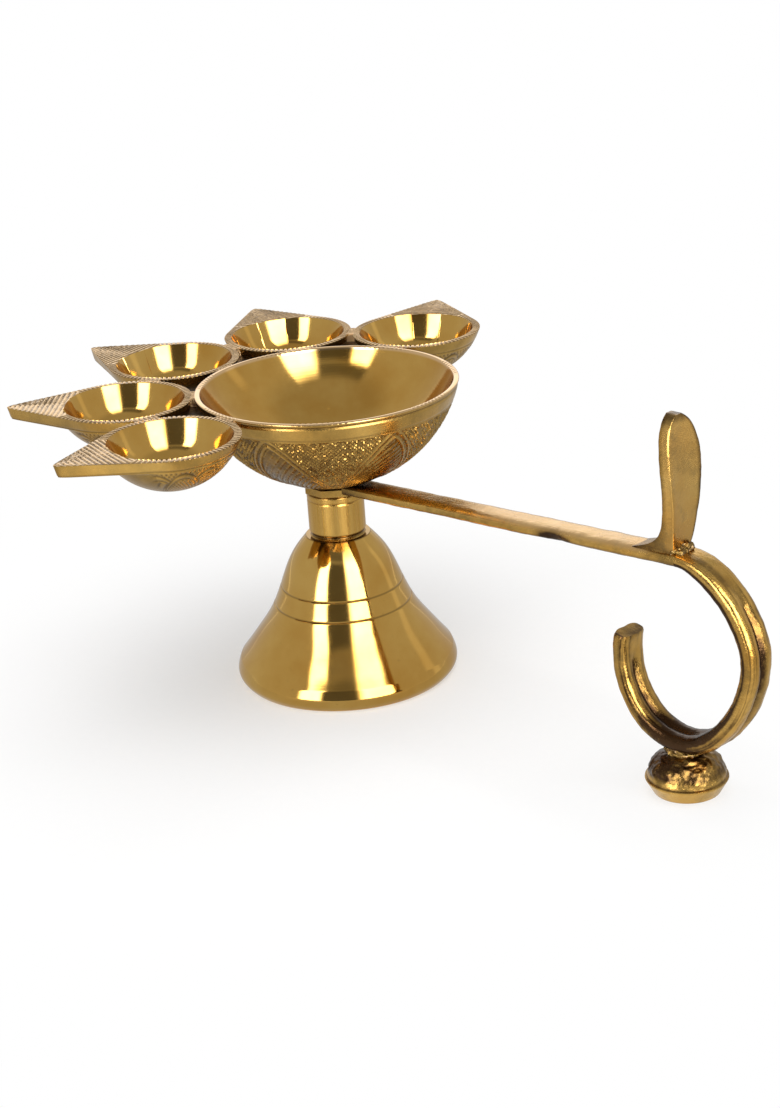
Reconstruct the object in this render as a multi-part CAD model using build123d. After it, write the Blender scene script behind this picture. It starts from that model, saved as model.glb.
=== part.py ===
from build123d import *
import math
import os

# Brass aarti lamp. The origin is the middle of the ring that the bell stands on,
# Z is up and X runs out along the handle. All sizes are in millimetres and degrees.

# Bell base
BASE_RADIUS = 33.5
BASE_HEIGHT = 44.5
BASE_WALL = 2.4
CROWN_THICKNESS = 5.0
CROWN_RADIUS = 9.7
LIP_UNDERCUT = 1.3
LIP_BULGE_HEIGHT = 1.9
LIP_LEAN = 0.9
LIP_TOP = 6.5
LINE_DEPTH = 0.35
LINE_HEIGHTS = (0.46, 0.594)
# Bell outline between lip and crown: share of the radius step and share of the height
BELL_SHAPE = ((0.91, 0.068), (0.781, 0.171), (0.567, 0.355), (0.371, 0.618), (0.202, 0.845))
INNER_DROP = 0.8
INNER_CORNER = 5.0

# Neck
NECK_RADIUS = 8.55
NECK_HEIGHT = 13.7
NECK_GROOVE = 0.7

# Bowl
BOWL_RADIUS = 39.0
BOWL_DEPTH = 27.9
BOWL_RIM = 1.7
BOWL_LIFT = 8.0
BOWL_SAG = 2.3
BOWL_HOLLOW_DEPTH = 23.5
BOSS_RADIUS = 6.8
BOSS_HEIGHT = 2.1
BOSS_BITE = 1.3
RIM_ROUND = 0.4

# Wick cups
CUP_COUNT = 5
CUP_RADIUS = 20.2
CUP_DEPTH = 14.4
CUP_REACH = 36.0
CUP_RIM = 2.4
HOLLOW_DEPTH = 11.3
HOLLOW_LEAN = 24.5
HOLLOW_CORNER = 9.5
TIP_THICKNESS = 3.6
TIP_UNDERCUT = 0.9
TIP_ROUND = 1.6
FAN_DIRECTION = 189.0
HEADING_STEP = 33.0
BOWL_GAP = 0.4
CUP_GAP = 0.7

# Filler metal between the rims
WEB_LENGTH = 7.0
WEB_HEIGHT = 3.0
WEB_BITE = 1.3
WEB_DROP = 0.25

# Handle
EYE_APOTHEM = 8.6
EYE_THICKNESS = 2.7
EYE_SIDES = 8
ARM_WIDTH = 9.0
ARM_THICKNESS = 3.7
ARM_SLOPE = 3.07
ARM_REACH = 132.5
ARM_ROUND = 0.9
ARM_START_CLEARANCE = 1.2
LOOP_THICKNESS = 4.6
LOOP_ROUND = 1.5
LOOP_GROOVE_RADIUS = 1.5
LOOP_GROOVE_DEPTH = 0.9
# Bends along the middle line of the loop, from the arm to the free end: radius and turn
LOOP_BENDS = (
    (14.3, 23.5), (29.5, 40.5), (20.0, 36.0),
    (35.2, 41.2), (17.6, 96.4), (24.3, 46.8),
)

# Thumb rest
HOOD_SETBACK = 3.6
HOOD_HEIGHT = 37.0
HOOD_WIDTH = 13.2
HOOD_THICKNESS = 3.9
HOOD_BOW = 2.7
HOOD_BOW_HEIGHT = 0.67
HOOD_TOP_SHIFT = 0.9
HOOD_EMBED = 3.0
HOOD_SHAPE = ((0.37, 0.1), (0.4, 0.2), (0.425, 0.35), (0.485, 0.53), (0.5, 0.69), (0.42, 0.86))
HOOD_TIP_SHARE = 0.09
BEAD_RADIUS = 2.6
BEAD_LENGTH = 9.0

# Button foot under the loop
FOOT_SETBACK = 0.7
FOOT_RADIUS = 11.3
FOOT_BOTTOM_RADIUS = 9.2
FOOT_BAND = 4.5
FOOT_STEP = 0.6
FOOT_SWELL = 0.8
FOOT_TOP_RADIUS = 5.0
FOOT_EDGE = 0.6
FOOT_BRAZE = 0.5
FOOT_BRAZE_RADIUS = 6.0
FOOT_BRAZE_HEIGHT = 2.4

# Fastening
STUD_RADIUS = 3.0
STUD_SEAT = 3.0
STUD_CLEARANCE = 0.3
SEAT_CLEARANCE = 0.05
THREAD_CLEARANCE = 0.06
WASHER_RADIUS = 7.5
WASHER_THICKNESS = 1.6
NUT_FLATS = 10.0
NUT_SIDES = 6
NUT_HEIGHT = 5.0
NUT_TRAVEL = 8.0
STUD_CHAMFER = 0.6

# Angles
HALF_TURN = 180
STRAIGHT_DOWN = 270

os.makedirs("parts", exist_ok=True)

# Levels of the stack, from the table up
crown_under = BASE_HEIGHT - CROWN_THICKNESS
neck_top = BASE_HEIGHT + NECK_HEIGHT
eye_top = neck_top + EYE_THICKNESS
bowl_bottom = eye_top + BOSS_HEIGHT
rim_z = bowl_bottom + BOWL_DEPTH
washer_under = crown_under - WASHER_THICKNESS
nut_under = washer_under - NUT_HEIGHT
stud_bottom = nut_under - NUT_TRAVEL
stud_top = eye_top + STUD_SEAT
on_floor = (Align.CENTER, Align.CENTER, Align.MIN)
hanging = (Align.CENTER, Align.CENTER, Align.MAX)


def save(shape, name):
    shape.label = name
    export_step(shape, f"parts/{name}.step")


def upright(radius, low, high):
    return Pos(0, 0, low) * Cylinder(radius, high - low, align=on_floor)


def turned(outline, x=0.0):
    face = make_face(Plane.XZ * outline)
    return Pos(x, 0, 0) * revolve(face, Axis.Z)


def cap_radius(rim_radius, depth):
    return (rim_radius**2 + depth**2) / (2 * depth)


# Bell base
lip_radius = BASE_RADIUS - LIP_LEAN
bell_points = [(lip_radius, LIP_TOP)]
for radius_share, height_share in BELL_SHAPE:
    bell_z = LIP_TOP + height_share * (BASE_HEIGHT - LIP_TOP)
    bell_points.append((CROWN_RADIUS + radius_share * (lip_radius - CROWN_RADIUS), bell_z))
bell_points.append((CROWN_RADIUS, BASE_HEIGHT))
standing_radius = BASE_RADIUS - LIP_UNDERCUT
inner_points = [(standing_radius - BASE_WALL, 0)]
for radius, height in bell_points[1:]:
    if height < crown_under - BASE_WALL:
        inner_points.append((radius - BASE_WALL, height - INNER_DROP))
inner_points.append((inner_points[-1][0] - INNER_CORNER, crown_under))
bell_curve = Spline(*bell_points)
bell_outline = [
    ThreePointArc((standing_radius, 0), (BASE_RADIUS, LIP_BULGE_HEIGHT), (lip_radius, LIP_TOP)),
    bell_curve,
    Polyline((CROWN_RADIUS, BASE_HEIGHT), (0, BASE_HEIGHT), (0, crown_under), inner_points[-1]),
    Spline(*inner_points),
    Line((standing_radius - BASE_WALL, 0), (standing_radius, 0)),
]
bell_base = turned(Curve() + bell_outline)
bell_base -= upright(STUD_RADIUS + STUD_CLEARANCE, 0, BASE_HEIGHT)
for share in LINE_HEIGHTS:
    line_point = bell_curve @ share
    bell_base -= Pos(0, 0, line_point.Y) * Torus(line_point.X, LINE_DEPTH)

# Neck collar, with a narrow groove where it meets the crown
neck_collar = upright(NECK_RADIUS, BASE_HEIGHT, neck_top)
neck_collar -= upright(STUD_RADIUS + STUD_CLEARANCE, BASE_HEIGHT, neck_top)
neck_collar -= Pos(0, 0, BASE_HEIGHT + NECK_GROOVE) * Torus(NECK_RADIUS, NECK_GROOVE)


# Central bowl: an oval outside with a flat seat, a round hollow, a boss and the hole for the stud
bowl_drop = BOWL_LIFT + BOWL_DEPTH + BOWL_SAG
seat_angle = math.degrees(math.acos((BOWL_LIFT + BOWL_DEPTH) / bowl_drop))
rim_angle = math.degrees(math.asin(BOWL_LIFT / bowl_drop))
bowl_outer = EllipticalCenterArc(
    (0, rim_z + BOWL_LIFT),
    BOWL_RADIUS / math.cos(math.radians(rim_angle)),
    bowl_drop,
    start_angle=STRAIGHT_DOWN + seat_angle,
    arc_size=90 - seat_angle - rim_angle,
)
hollow_radius = cap_radius(BOWL_RADIUS - BOWL_RIM, BOWL_HOLLOW_DEPTH)
hollow_angle = math.degrees(math.asin((hollow_radius - BOWL_HOLLOW_DEPTH) / hollow_radius))
hollow_middle = rim_z + hollow_radius - BOWL_HOLLOW_DEPTH
bowl_inner = CenterArc((0, hollow_middle), hollow_radius, STRAIGHT_DOWN, 90 - hollow_angle)
bowl_outline = [
    bowl_outer,
    ThreePointArc(bowl_outer @ 1, (BOWL_RADIUS - BOWL_RIM / 2, rim_z + RIM_ROUND), bowl_inner @ 1),
    bowl_inner,
    Polyline(bowl_inner @ 0, (0, bowl_bottom), bowl_outer @ 0),
]
center_bowl = turned(Curve() + bowl_outline)
center_bowl += upright(BOSS_RADIUS, eye_top, bowl_bottom + BOSS_BITE)
center_bowl -= upright(STUD_RADIUS + SEAT_CLEARANCE, eye_top, stud_top)
blank_edge = Polyline(bowl_outer @ 1, (0, rim_z), (0, bowl_bottom), bowl_outer @ 0)
bowl_blank = turned(Curve() + [bowl_outer, blank_edge])


# Wick cups: a round cap drawn out to a flat, blunt tip, with a round hollow
def tip_face(radius, reach, height):
    touch_x = radius**2 / reach
    touch_y = math.sqrt(radius**2 - touch_x**2)
    corners = [(touch_x, touch_y), (reach, 0), (touch_x, -touch_y)]
    return Pos(0, 0, height) * make_face(Polyline(*corners, close=True))


def cap(rim_radius, depth):
    sphere_radius = cap_radius(rim_radius, depth)
    sphere = Pos(0, 0, sphere_radius - depth) * Sphere(sphere_radius)
    across = 2 * sphere_radius
    lower = Box(across, across, across, align=hanging)
    return sphere & lower


def make_cup_blank():
    sphere_radius = cap_radius(CUP_RADIUS, CUP_DEPTH)
    sphere_rise = sphere_radius - CUP_DEPTH
    low_radius = math.sqrt(sphere_radius**2 - (sphere_rise + TIP_THICKNESS) ** 2)
    top = tip_face(CUP_RADIUS, CUP_REACH, 0)
    under = tip_face(low_radius, CUP_REACH - TIP_UNDERCUT, -TIP_THICKNESS)
    blank = cap(CUP_RADIUS, CUP_DEPTH) + loft([under, top], ruled=True)
    tip_edge = blank.edges().sort_by(Axis.X)[-1]
    return fillet(tip_edge, TIP_ROUND)


def make_cup_hollow():
    rim_radius = CUP_RADIUS - CUP_RIM
    corner = rim_radius - HOLLOW_DEPTH * math.tan(math.radians(HOLLOW_LEAN))
    wall = FilletPolyline((rim_radius, 0), (corner, -HOLLOW_DEPTH), (0, -HOLLOW_DEPTH), radius=HOLLOW_CORNER)
    return turned(Curve() + [wall, Polyline((0, -HOLLOW_DEPTH), (0, 0), (rim_radius, 0))])


cup_blank = make_cup_blank()
cup = cup_blank - make_cup_hollow()

fan_radius = BOWL_RADIUS + BOWL_GAP + CUP_RADIUS
cup_step = 2 * math.degrees(math.asin((CUP_RADIUS + CUP_GAP / 2) / fan_radius))
cup_places = []
cup_directions = []
for index in range(CUP_COUNT):
    offset = (CUP_COUNT - 1) / 2 - index
    direction = math.radians(FAN_DIRECTION + offset * cup_step)
    heading = FAN_DIRECTION + offset * HEADING_STEP
    place = Pos(fan_radius * math.cos(direction), fan_radius * math.sin(direction), rim_z)
    cup_places.append(place * Rot(0, 0, heading))
    cup_directions.append(direction)
wick_cups = [place * cup for place in cup_places]
cup_blanks = [place * cup_blank for place in cup_places]


# Filler between two rims: a short bar with both neighbours cut away from it
def web(x, y, angle, gap, first, second):
    bar = Box(gap + 2 * WEB_BITE, WEB_LENGTH, WEB_HEIGHT, align=hanging)
    placed = Pos(x, y, rim_z - WEB_DROP) * Rot(0, 0, angle) * bar
    return placed - first - second


rim_web_list = []
for direction, blank in zip(cup_directions, cup_blanks):
    web_radius = BOWL_RADIUS + BOWL_GAP / 2
    web_x = web_radius * math.cos(direction)
    web_y = web_radius * math.sin(direction)
    rim_web_list.append(web(web_x, web_y, math.degrees(direction), BOWL_GAP, bowl_blank, blank))
for index in range(CUP_COUNT - 1):
    direction = (cup_directions[index] + cup_directions[index + 1]) / 2
    web_radius = fan_radius * math.cos(math.radians(cup_step / 2))
    web_x = web_radius * math.cos(direction)
    web_y = web_radius * math.sin(direction)
    side_angle = math.degrees(direction) + 90
    rim_web_list.append(web(web_x, web_y, side_angle, CUP_GAP, cup_blanks[index], cup_blanks[index + 1]))
rim_webs = Compound(children=[piece.solid() for piece in rim_web_list])

# Stud under the bowl
head_stud = upright(STUD_RADIUS, stud_bottom, stud_top)
head_stud = chamfer(head_stud.edges().group_by(Axis.Z)[0], STUD_CHAMFER)


# Handle arm with its eye plate
def arm_under(x):
    return neck_top + x * math.tan(math.radians(ARM_SLOPE))


arm_start = BOSS_RADIUS + ARM_START_CLEARANCE
arm_side = Polyline(
    (arm_start, arm_under(arm_start)),
    (ARM_REACH, arm_under(ARM_REACH)),
    (ARM_REACH, arm_under(ARM_REACH) + ARM_THICKNESS),
    (arm_start, arm_under(arm_start) + ARM_THICKNESS),
    close=True,
)
arm_bar = extrude(make_face(Plane.XZ * arm_side), amount=ARM_WIDTH / 2, both=True)
long_edges = arm_bar.edges().sort_by(SortBy.LENGTH)[-4:]
arm_bar = fillet(long_edges, ARM_ROUND)
eye_outline = RegularPolygon(EYE_APOTHEM, EYE_SIDES, major_radius=False, rotation=180 / EYE_SIDES)
eye_plate = extrude(Pos(0, 0, neck_top) * eye_outline, amount=EYE_THICKNESS)
handle_arm = arm_bar + eye_plate
handle_arm -= upright(STUD_RADIUS + STUD_CLEARANCE, neck_top, eye_top)

# Finger loop: a grooved strip bent round from the end of the arm and down to the foot
loop_section = RectangleRounded(ARM_WIDTH, LOOP_THICKNESS, LOOP_ROUND)
groove_y = LOOP_THICKNESS / 2 + LOOP_GROOVE_RADIUS - LOOP_GROOVE_DEPTH
loop_section -= Pos(0, groove_y) * Circle(LOOP_GROOVE_RADIUS)
loop_point = Vector(ARM_REACH, 0, arm_under(ARM_REACH) + ARM_THICKNESS / 2)
loop_low = loop_point.Z
turned_so_far = 0.0
finger_loop = Part()
for bend_radius, bend_turn in LOOP_BENDS:
    ahead = Vector(1, 0, 0).rotate(Axis.Y, turned_so_far)
    inward = Vector(0, 0, -1).rotate(Axis.Y, turned_so_far)
    bend_middle = loop_point + inward * bend_radius
    strip_end = Plane(origin=loop_point, x_dir=(0, 1, 0), z_dir=ahead)
    bend_axis = Axis(bend_middle, (0, 1, 0))
    finger_loop += revolve(strip_end * loop_section, bend_axis, revolution_arc=bend_turn)
    if turned_so_far < HALF_TURN <= turned_so_far + bend_turn:
        loop_low = bend_middle.Z - bend_radius
    turned_so_far += bend_turn
    loop_point = bend_middle + Vector(0, 0, bend_radius).rotate(Axis.Y, turned_so_far)
foot_height = loop_low - LOOP_THICKNESS / 2 - FOOT_BRAZE

# Thumb rest: a bowed plate cut to the outline of a cobra's hood
hood_x = ARM_REACH - HOOD_SETBACK
hood_base = arm_under(hood_x) + ARM_THICKNESS
hood_top = hood_base + HOOD_HEIGHT


def bowed_edge(shift):
    low = (hood_x + shift, hood_base - HOOD_EMBED)
    bulge = (hood_x + shift + HOOD_BOW, hood_base + HOOD_BOW_HEIGHT * HOOD_HEIGHT)
    high = (hood_x + shift + HOOD_TOP_SHIFT, hood_top)
    return ThreePointArc(low, bulge, high)


hood_front = bowed_edge(-HOOD_THICKNESS / 2)
hood_back = bowed_edge(HOOD_THICKNESS / 2)
hood_band = Curve() + [
    hood_front,
    Line(hood_front @ 1, hood_back @ 1),
    hood_back,
    Line(hood_back @ 0, hood_front @ 0),
]
hood_slab = extrude(make_face(Plane.XZ * hood_band), amount=HOOD_WIDTH, both=True)
hood_root = ARM_WIDTH / 2 - ARM_ROUND
hood_side = [(hood_root, hood_base)]
for width_share, height_share in HOOD_SHAPE:
    hood_side.append((width_share * HOOD_WIDTH, hood_base + height_share * HOOD_HEIGHT))
hood_side.append((HOOD_TIP_SHARE * HOOD_WIDTH, hood_top))
mirrored_side = [(-y, z) for y, z in hood_side]
hood_leaf = Curve() + [
    Spline(*hood_side),
    Line(hood_side[-1], mirrored_side[-1]),
    Spline(*mirrored_side),
    Polyline(
        mirrored_side[0],
        (-hood_root, hood_base - HOOD_EMBED),
        (hood_root, hood_base - HOOD_EMBED),
        hood_side[0],
    ),
]
hood_prism = extrude(make_face(Plane.YZ * hood_leaf), amount=hood_x + HOOD_WIDTH)
cobra_hood = (hood_slab & hood_prism) - handle_arm

# Bead of filler behind the root of the thumb rest
bead_x = hood_x + HOOD_THICKNESS / 2
bead = Pos(bead_x, 0, hood_base) * Rot(90, 0, 0) * Cylinder(BEAD_RADIUS, BEAD_LENGTH)
bead = fillet(bead.edges().filter_by(GeomType.CIRCLE), BEAD_RADIUS / 2)
hood_braze = bead - cobra_hood - handle_arm - finger_loop

# Button foot and the filler that holds it under the loop
foot_x = ARM_REACH - FOOT_SETBACK
dome_start = (FOOT_RADIUS - FOOT_STEP, FOOT_BAND)
dome_end = (FOOT_TOP_RADIUS, foot_height)
dome_middle = (
    FOOT_TOP_RADIUS + FOOT_SWELL * (dome_start[0] - FOOT_TOP_RADIUS),
    (FOOT_BAND + foot_height) / 2,
)
foot_outline = [
    Polyline(
        (0, foot_height),
        (0, 0),
        (FOOT_BOTTOM_RADIUS, 0),
        (FOOT_RADIUS, FOOT_BAND - FOOT_EDGE),
        dome_start,
    ),
    ThreePointArc(dome_start, dome_middle, dome_end),
    Line(dome_end, (0, foot_height)),
]
handle_foot = turned(Curve() + foot_outline, foot_x)
foot_bead = Pos(foot_x, 0, foot_height) * Cone(
    FOOT_BRAZE_RADIUS, FOOT_TOP_RADIUS, FOOT_BRAZE_HEIGHT, align=on_floor
)
foot_braze = foot_bead - finger_loop - handle_foot

# Washer and nut inside the bell
clamp_washer = upright(WASHER_RADIUS, washer_under, crown_under)
clamp_washer -= upright(STUD_RADIUS + STUD_CLEARANCE, washer_under, crown_under)
nut_outline = RegularPolygon(NUT_FLATS / 2, NUT_SIDES, major_radius=False)
clamp_nut = extrude(Pos(0, 0, nut_under) * nut_outline, amount=NUT_HEIGHT)
clamp_nut -= upright(STUD_RADIUS + THREAD_CLEARANCE, nut_under, washer_under)

# Files
save(bell_base, "bell_base")
save(neck_collar, "neck_collar")
save(center_bowl, "center_bowl")
for number, wick_cup in enumerate(wick_cups, start=1):
    save(wick_cup, f"wick_cup_{number}")
save(rim_webs, "rim_webs")
save(head_stud, "head_stud")
save(handle_arm, "handle_arm")
save(finger_loop, "finger_loop")
save(cobra_hood, "cobra_hood")
save(hood_braze, "hood_braze")
save(handle_foot, "handle_foot")
save(foot_braze, "foot_braze")
save(clamp_washer, "clamp_washer")
save(clamp_nut, "clamp_nut")
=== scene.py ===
import math

import bmesh
import bpy
import numpy as np
from mathutils import Matrix, Vector, noise


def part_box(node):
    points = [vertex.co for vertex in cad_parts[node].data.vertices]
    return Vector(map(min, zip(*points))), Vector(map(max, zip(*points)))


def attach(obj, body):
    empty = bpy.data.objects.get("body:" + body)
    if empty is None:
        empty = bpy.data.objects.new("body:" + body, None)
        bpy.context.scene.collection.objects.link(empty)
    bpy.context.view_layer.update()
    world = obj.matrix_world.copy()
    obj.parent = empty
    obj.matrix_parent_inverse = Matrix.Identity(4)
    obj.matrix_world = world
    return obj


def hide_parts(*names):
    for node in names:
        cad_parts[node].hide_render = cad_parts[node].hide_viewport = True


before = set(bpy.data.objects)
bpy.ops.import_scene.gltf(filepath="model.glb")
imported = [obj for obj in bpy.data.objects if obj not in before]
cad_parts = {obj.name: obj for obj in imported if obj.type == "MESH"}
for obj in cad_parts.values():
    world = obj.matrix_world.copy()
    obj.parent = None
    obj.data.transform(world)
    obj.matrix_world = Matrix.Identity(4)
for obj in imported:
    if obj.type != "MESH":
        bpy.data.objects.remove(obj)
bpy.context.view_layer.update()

# Units: shapes are worked out in millimetres and stored in metres
MM = 0.001
TAU = 2 * math.pi
SHARP_ANGLE = math.radians(42)
MERGE_DISTANCE = 1e-8
TINY = 1e-6


def node_box(node):
    low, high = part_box(node)
    return np.array(low) / MM, np.array(high) / MM


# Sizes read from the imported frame
bell_high = node_box("bell_base")[1]
neck_low, neck_high = node_box("neck_collar")
bowl_high = node_box("center_bowl")[1]
stud_low, stud_high = node_box("head_stud")
washer_low, washer_high = node_box("clamp_washer")
nut_low, nut_high = node_box("clamp_nut")
foot_low, foot_high = node_box("handle_foot")

# Bell
BELL_RADIUS = 33.5
BELL_WALL = 2.4
LIP_UNDERCUT = 1.3
LIP_BULGE_HEIGHT = 1.9
LIP_LEAN = 0.9
LIP_TOP = 6.5
CROWN_RADIUS = 9.7
CROWN_THICKNESS = 5.0
BELL_SHAPE = ((0.91, 0.068), (0.781, 0.171), (0.567, 0.355), (0.371, 0.618), (0.202, 0.845))
BELL_SAMPLES = 240
BELL_INNER_SKIP = 8
BELL_COLUMNS = 288
LIP_SAMPLES = 24
TURNED_LINES = (0.46, 0.594)
TURNED_LINE_DEPTH = 0.2
TURNED_LINE_WIDTH = 0.24
TURNED_LINE_STAIN = 0.5
STUD_HOLE = 3.3

# Neck
NECK_SAMPLES = 90
NECK_COLUMNS = 160
NECK_GROOVE_RISE = 0.7
NECK_GROOVE_WIDTH = 0.55
NECK_GROOVE_DEPTH = 0.75
NECK_LINE_DROP = 2.2
NECK_LINE_WIDTH = 0.22
NECK_LINE_DEPTH = 0.22
NECK_EDGE_WIDTH = 0.35
NECK_EDGE_HEIGHT = 0.4
NECK_SHADE_HEIGHT = 0.9

# Bowl
RIM_ROUND = 0.4
RIM_CURVE = ((0.05, 0.12), (0.2, 0.27), (0.5, 0.36))
BOWL_RIM = 1.7
BOWL_DEPTH = 27.9
BOWL_LIFT = 8.0
BOWL_SAG = 2.3
BOWL_HOLLOW_DEPTH = 23.5
BOWL_COLUMNS = 768
BOWL_SAMPLES = 150
BOWL_INNER_SAMPLES = 72
BOSS_RADIUS = 6.8
BOSS_EDGE = 0.4
WORN_SIDE = math.radians(25.0)
RIM_NICKS = 150
NICK_GROUPS = 7
NICK_GROUP_PHASE = 0.13
NICK_DEPTH = 0.16

# Engraving of the bowl
PLAIN_BAND = 5.6
BAND_LINE_WIDTH = 0.3
EDGE_LINE_DROP = 1.1
EDGE_LINE_WIDTH = 0.4
BOWL_PETALS = 6
BOWL_PETAL_PHASE = 0.7
BOWL_PETAL_WIDTH = 0.72
BOWL_PETAL_DROP = 21.0
BOWL_PETAL_POWER = 1.5
BOWL_LINE_STEPS = (0.0, 2.0)
BOWL_LINE_HALF = 0.8
BOWL_LINE_EDGE = 0.75
BOWL_LINE_WIDTH = 0.3
BOWL_DOTS = 168
DOT_PITCH = 1.5
CELL_SIZE = 4
ENGRAVING_SEED = 4
ENGRAVING_DEPTH = 0.45
ENGRAVING_EDGE = 0.3
ENGRAVING_FADE = (3.0, 1.0)
GRIME_START = (-0.5, 1.0)
SHADED_BOTTOM_ROWS = 12

# Wick cups
CUP_COUNT = 5
CUP_RADIUS = 20.2
CUP_DEPTH = 14.4
CUP_REACH = 36.0
CUP_RIM = 2.4
CUP_COLUMNS = 528
CUP_SIDE_ROWS = (16, 8, 44)
HOLLOW_DEPTH = 11.3
HOLLOW_LEAN = math.radians(24.5)
HOLLOW_CORNER = 9.5
HOLLOW_REACH = 18.5
HOLLOW_SAMPLES = (6, 24, 10)
TIP_THICKNESS = 3.6
TIP_UNDERCUT = 0.9
TIP_UNDERSIDE = 1.3
TIP_SOFTNESS = 0.55
TIP_SPAN = 0.6
TIP_STRETCH = 1.15
STEEPEST = 1.5
LEAST_POINT = 1.0005
FAN_DIRECTION = 189.0
HEADING_STEP = 33.0
BOWL_GAP = 0.4
CUP_GAP = 0.7
RIM_ROWS = 37
RIM_CROWN = 0.12
RIM_EDGE_WIDTH = 0.25
RIM_EDGE_DROP = 0.14
RIM_EDGE_FALL = 0.15
RIM_SEED = 8
SPECKLE_SIZE = 3
NOTCH_PITCH = 1.45
NOTCH_DEPTH = 0.26
NOTCH_SHARE = 0.15

# Engraving of the cups
CUP_ENGRAVING_TOP = 4.6
CUP_ENGRAVING_END = (15.0, 17.0)
CUP_ENGRAVING_DEPTH = 0.3
CUP_PETALS = 7
CUP_PETAL_START = 0.8
CUP_PETAL_DROP = 11.0
CUP_PETAL_POWER = 1.9
CUP_LINE_STEP = 2.1
CUP_LINE_WIDTHS = (0.5, 0.35)
CUP_PETAL_INSET = 2.8
CUP_DOTS = 84
CUP_DOT_PITCH = 2.2
CUP_HATCH_PITCH = 4.18
CUP_BORDER_DROP = 3.6
CUP_BORDER_WIDTH = 0.25
CUP_SIDE_START = (0.75, 0.95)
TIP_SHADE_SPAN = 0.9
HATCH_TURN = 1.6

# Filler between the rims
WEB_LENGTH = 7.0
WEB_HEIGHT = 3.0
WEB_BITE = 0.55
WEB_RISE = 0.05
WEB_CROWN = 0.15
WEB_COLUMNS = 57
WEB_TOP = (0, 0.15, 0.35, 0.5, 0.65, 0.85, 1)
WEB_UNDERSIDE = ((1, 1.0), (0.5, 1.3), (0, 1.0))
# Drop and inset of the dark plates that paint the shade in the gaps between the rims
PLATE_LEVELS = ((2.4, 1.25), (3.6, 1.9))
PLATE_ARC_POINTS = 12

# Arm and eye plate
ARM_THICKNESS = 3.7
ARM_WIDTH = 9.0
ARM_SLOPE = math.radians(3.07)
ARM_REACH = 132.5
ARM_START = 8.0
ARM_ROWS = 130
ARM_COLUMNS = 56
ARM_SQUARENESS = 3.2
ARM_WAVES = ((0.012, 9.0, 0.0), (0.01, 4.3, 1.0))
FLAW_PLACE = 91.0
FLAW_RISE = 0.9
FLAW_SIZE = 2.2
FLAW_STRETCH = (0.45, 1.5)
FLAW_DEPTH = 0.8
DEEPEST_DARKENING = 1.6
EYE_SHADE_LENGTH = 16.0
HOOD_DARKENING_LENGTHS = (14.0, 5.0)
LOW_SHADE_PLACE = 0.62
LOW_SHADE_WIDTH = 4.5
ARM_HIGHLIGHT_START = (45.0, 62.0)
EYE_APOTHEM = 8.6
EYE_THICKNESS = 2.7
EYE_SIDES = 8
EYE_COLUMNS = 192
EYE_EDGE = 0.3
EYE_EDGE_WIDTH = 0.35
EYE_FACE_SHADE = 0.9
EYE_SIDE_STAIN = 0.25

# Loop
LOOP_THICKNESS = 5.0
LOOP_WIDTH = 9.5
LOOP_BENDS = (
    (14.3, 23.5), (29.5, 40.5), (20.0, 36.0),
    (35.2, 41.2), (17.6, 96.4), (24.3, 46.8),
)
LOOP_STEP = 0.8
LOOP_COLUMNS = 72
LOOP_SQUARENESS = 3.4
LOOP_BLEND = 12.0
LOOP_SWELL = 0.5
LOOP_SWELL_PLACE = 0.56
LOOP_SWELL_LENGTH = 16.0
LOOP_TAPER = 0.35
LOOP_TAPER_START = 0.75
LOOP_END_ROUND = 0.07
LOOP_END_LENGTH = 0.6
GROOVE_DEPTH = 0.95
GROOVE_WIDTH = 1.15
OUTER_GROOVE_START = (10.0, 26.0)
OUTER_GROOVE_END = (2.0, 9.0)
INNER_GROOVE_START = (0.5, 0.66)
INNER_GROOVE_END = (4.0, 11.0)
INSIDE_SHADE_PLACE = 0.62
INSIDE_SHADE_LENGTH = 17.0
TOP_SHADE_PLACE = 10.0
TOP_SHADE_LENGTH = 14.0
FOOT_SHADE_SIZE = 7.5
SEAM_WIDTH = 0.5
STREAK_LENGTH = 16.0
STREAK_SEED = 4.2

# Thumb rest
HOOD_SETBACK = 3.6
HOOD_HEIGHT = 37.0
HOOD_WIDTH = 13.2
HOOD_THICKNESS = 4.0
HOOD_THINNING = 0.16
HOOD_HOLLOW = 0.55
HOOD_FLARE = 10.0
HOOD_FLARE_DROP = 0.8
HOOD_FLARE_HEIGHT = 2.7
HOOD_BOW = 2.7
HOOD_BOW_HEIGHT = 0.67
HOOD_TOP_SHIFT = 0.9
HOOD_EMBED = 3.0
HOOD_ROOT = 2.2
HOOD_COLUMNS = 64
HOOD_ROWS = 90
HOOD_ROOT_ROWS = 6
HOOD_SAMPLES = 400
HOOD_SQUARENESS = 9.0
HOOD_BACK_SHADE = (0.34, 0.47)
HOOD_FRONT_SHADE = 0.06
HOOD_ROOT_DARKENING = 1.6
HOOD_TOP_DARKENING = (0.92, 0.99)
HOOD_SHAPE = (
    (0.27, 0.0), (0.33, 0.1), (0.375, 0.2), (0.425, 0.35),
    (0.485, 0.53), (0.5, 0.69), (0.42, 0.86), (0.09, 1.0),
)

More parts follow.
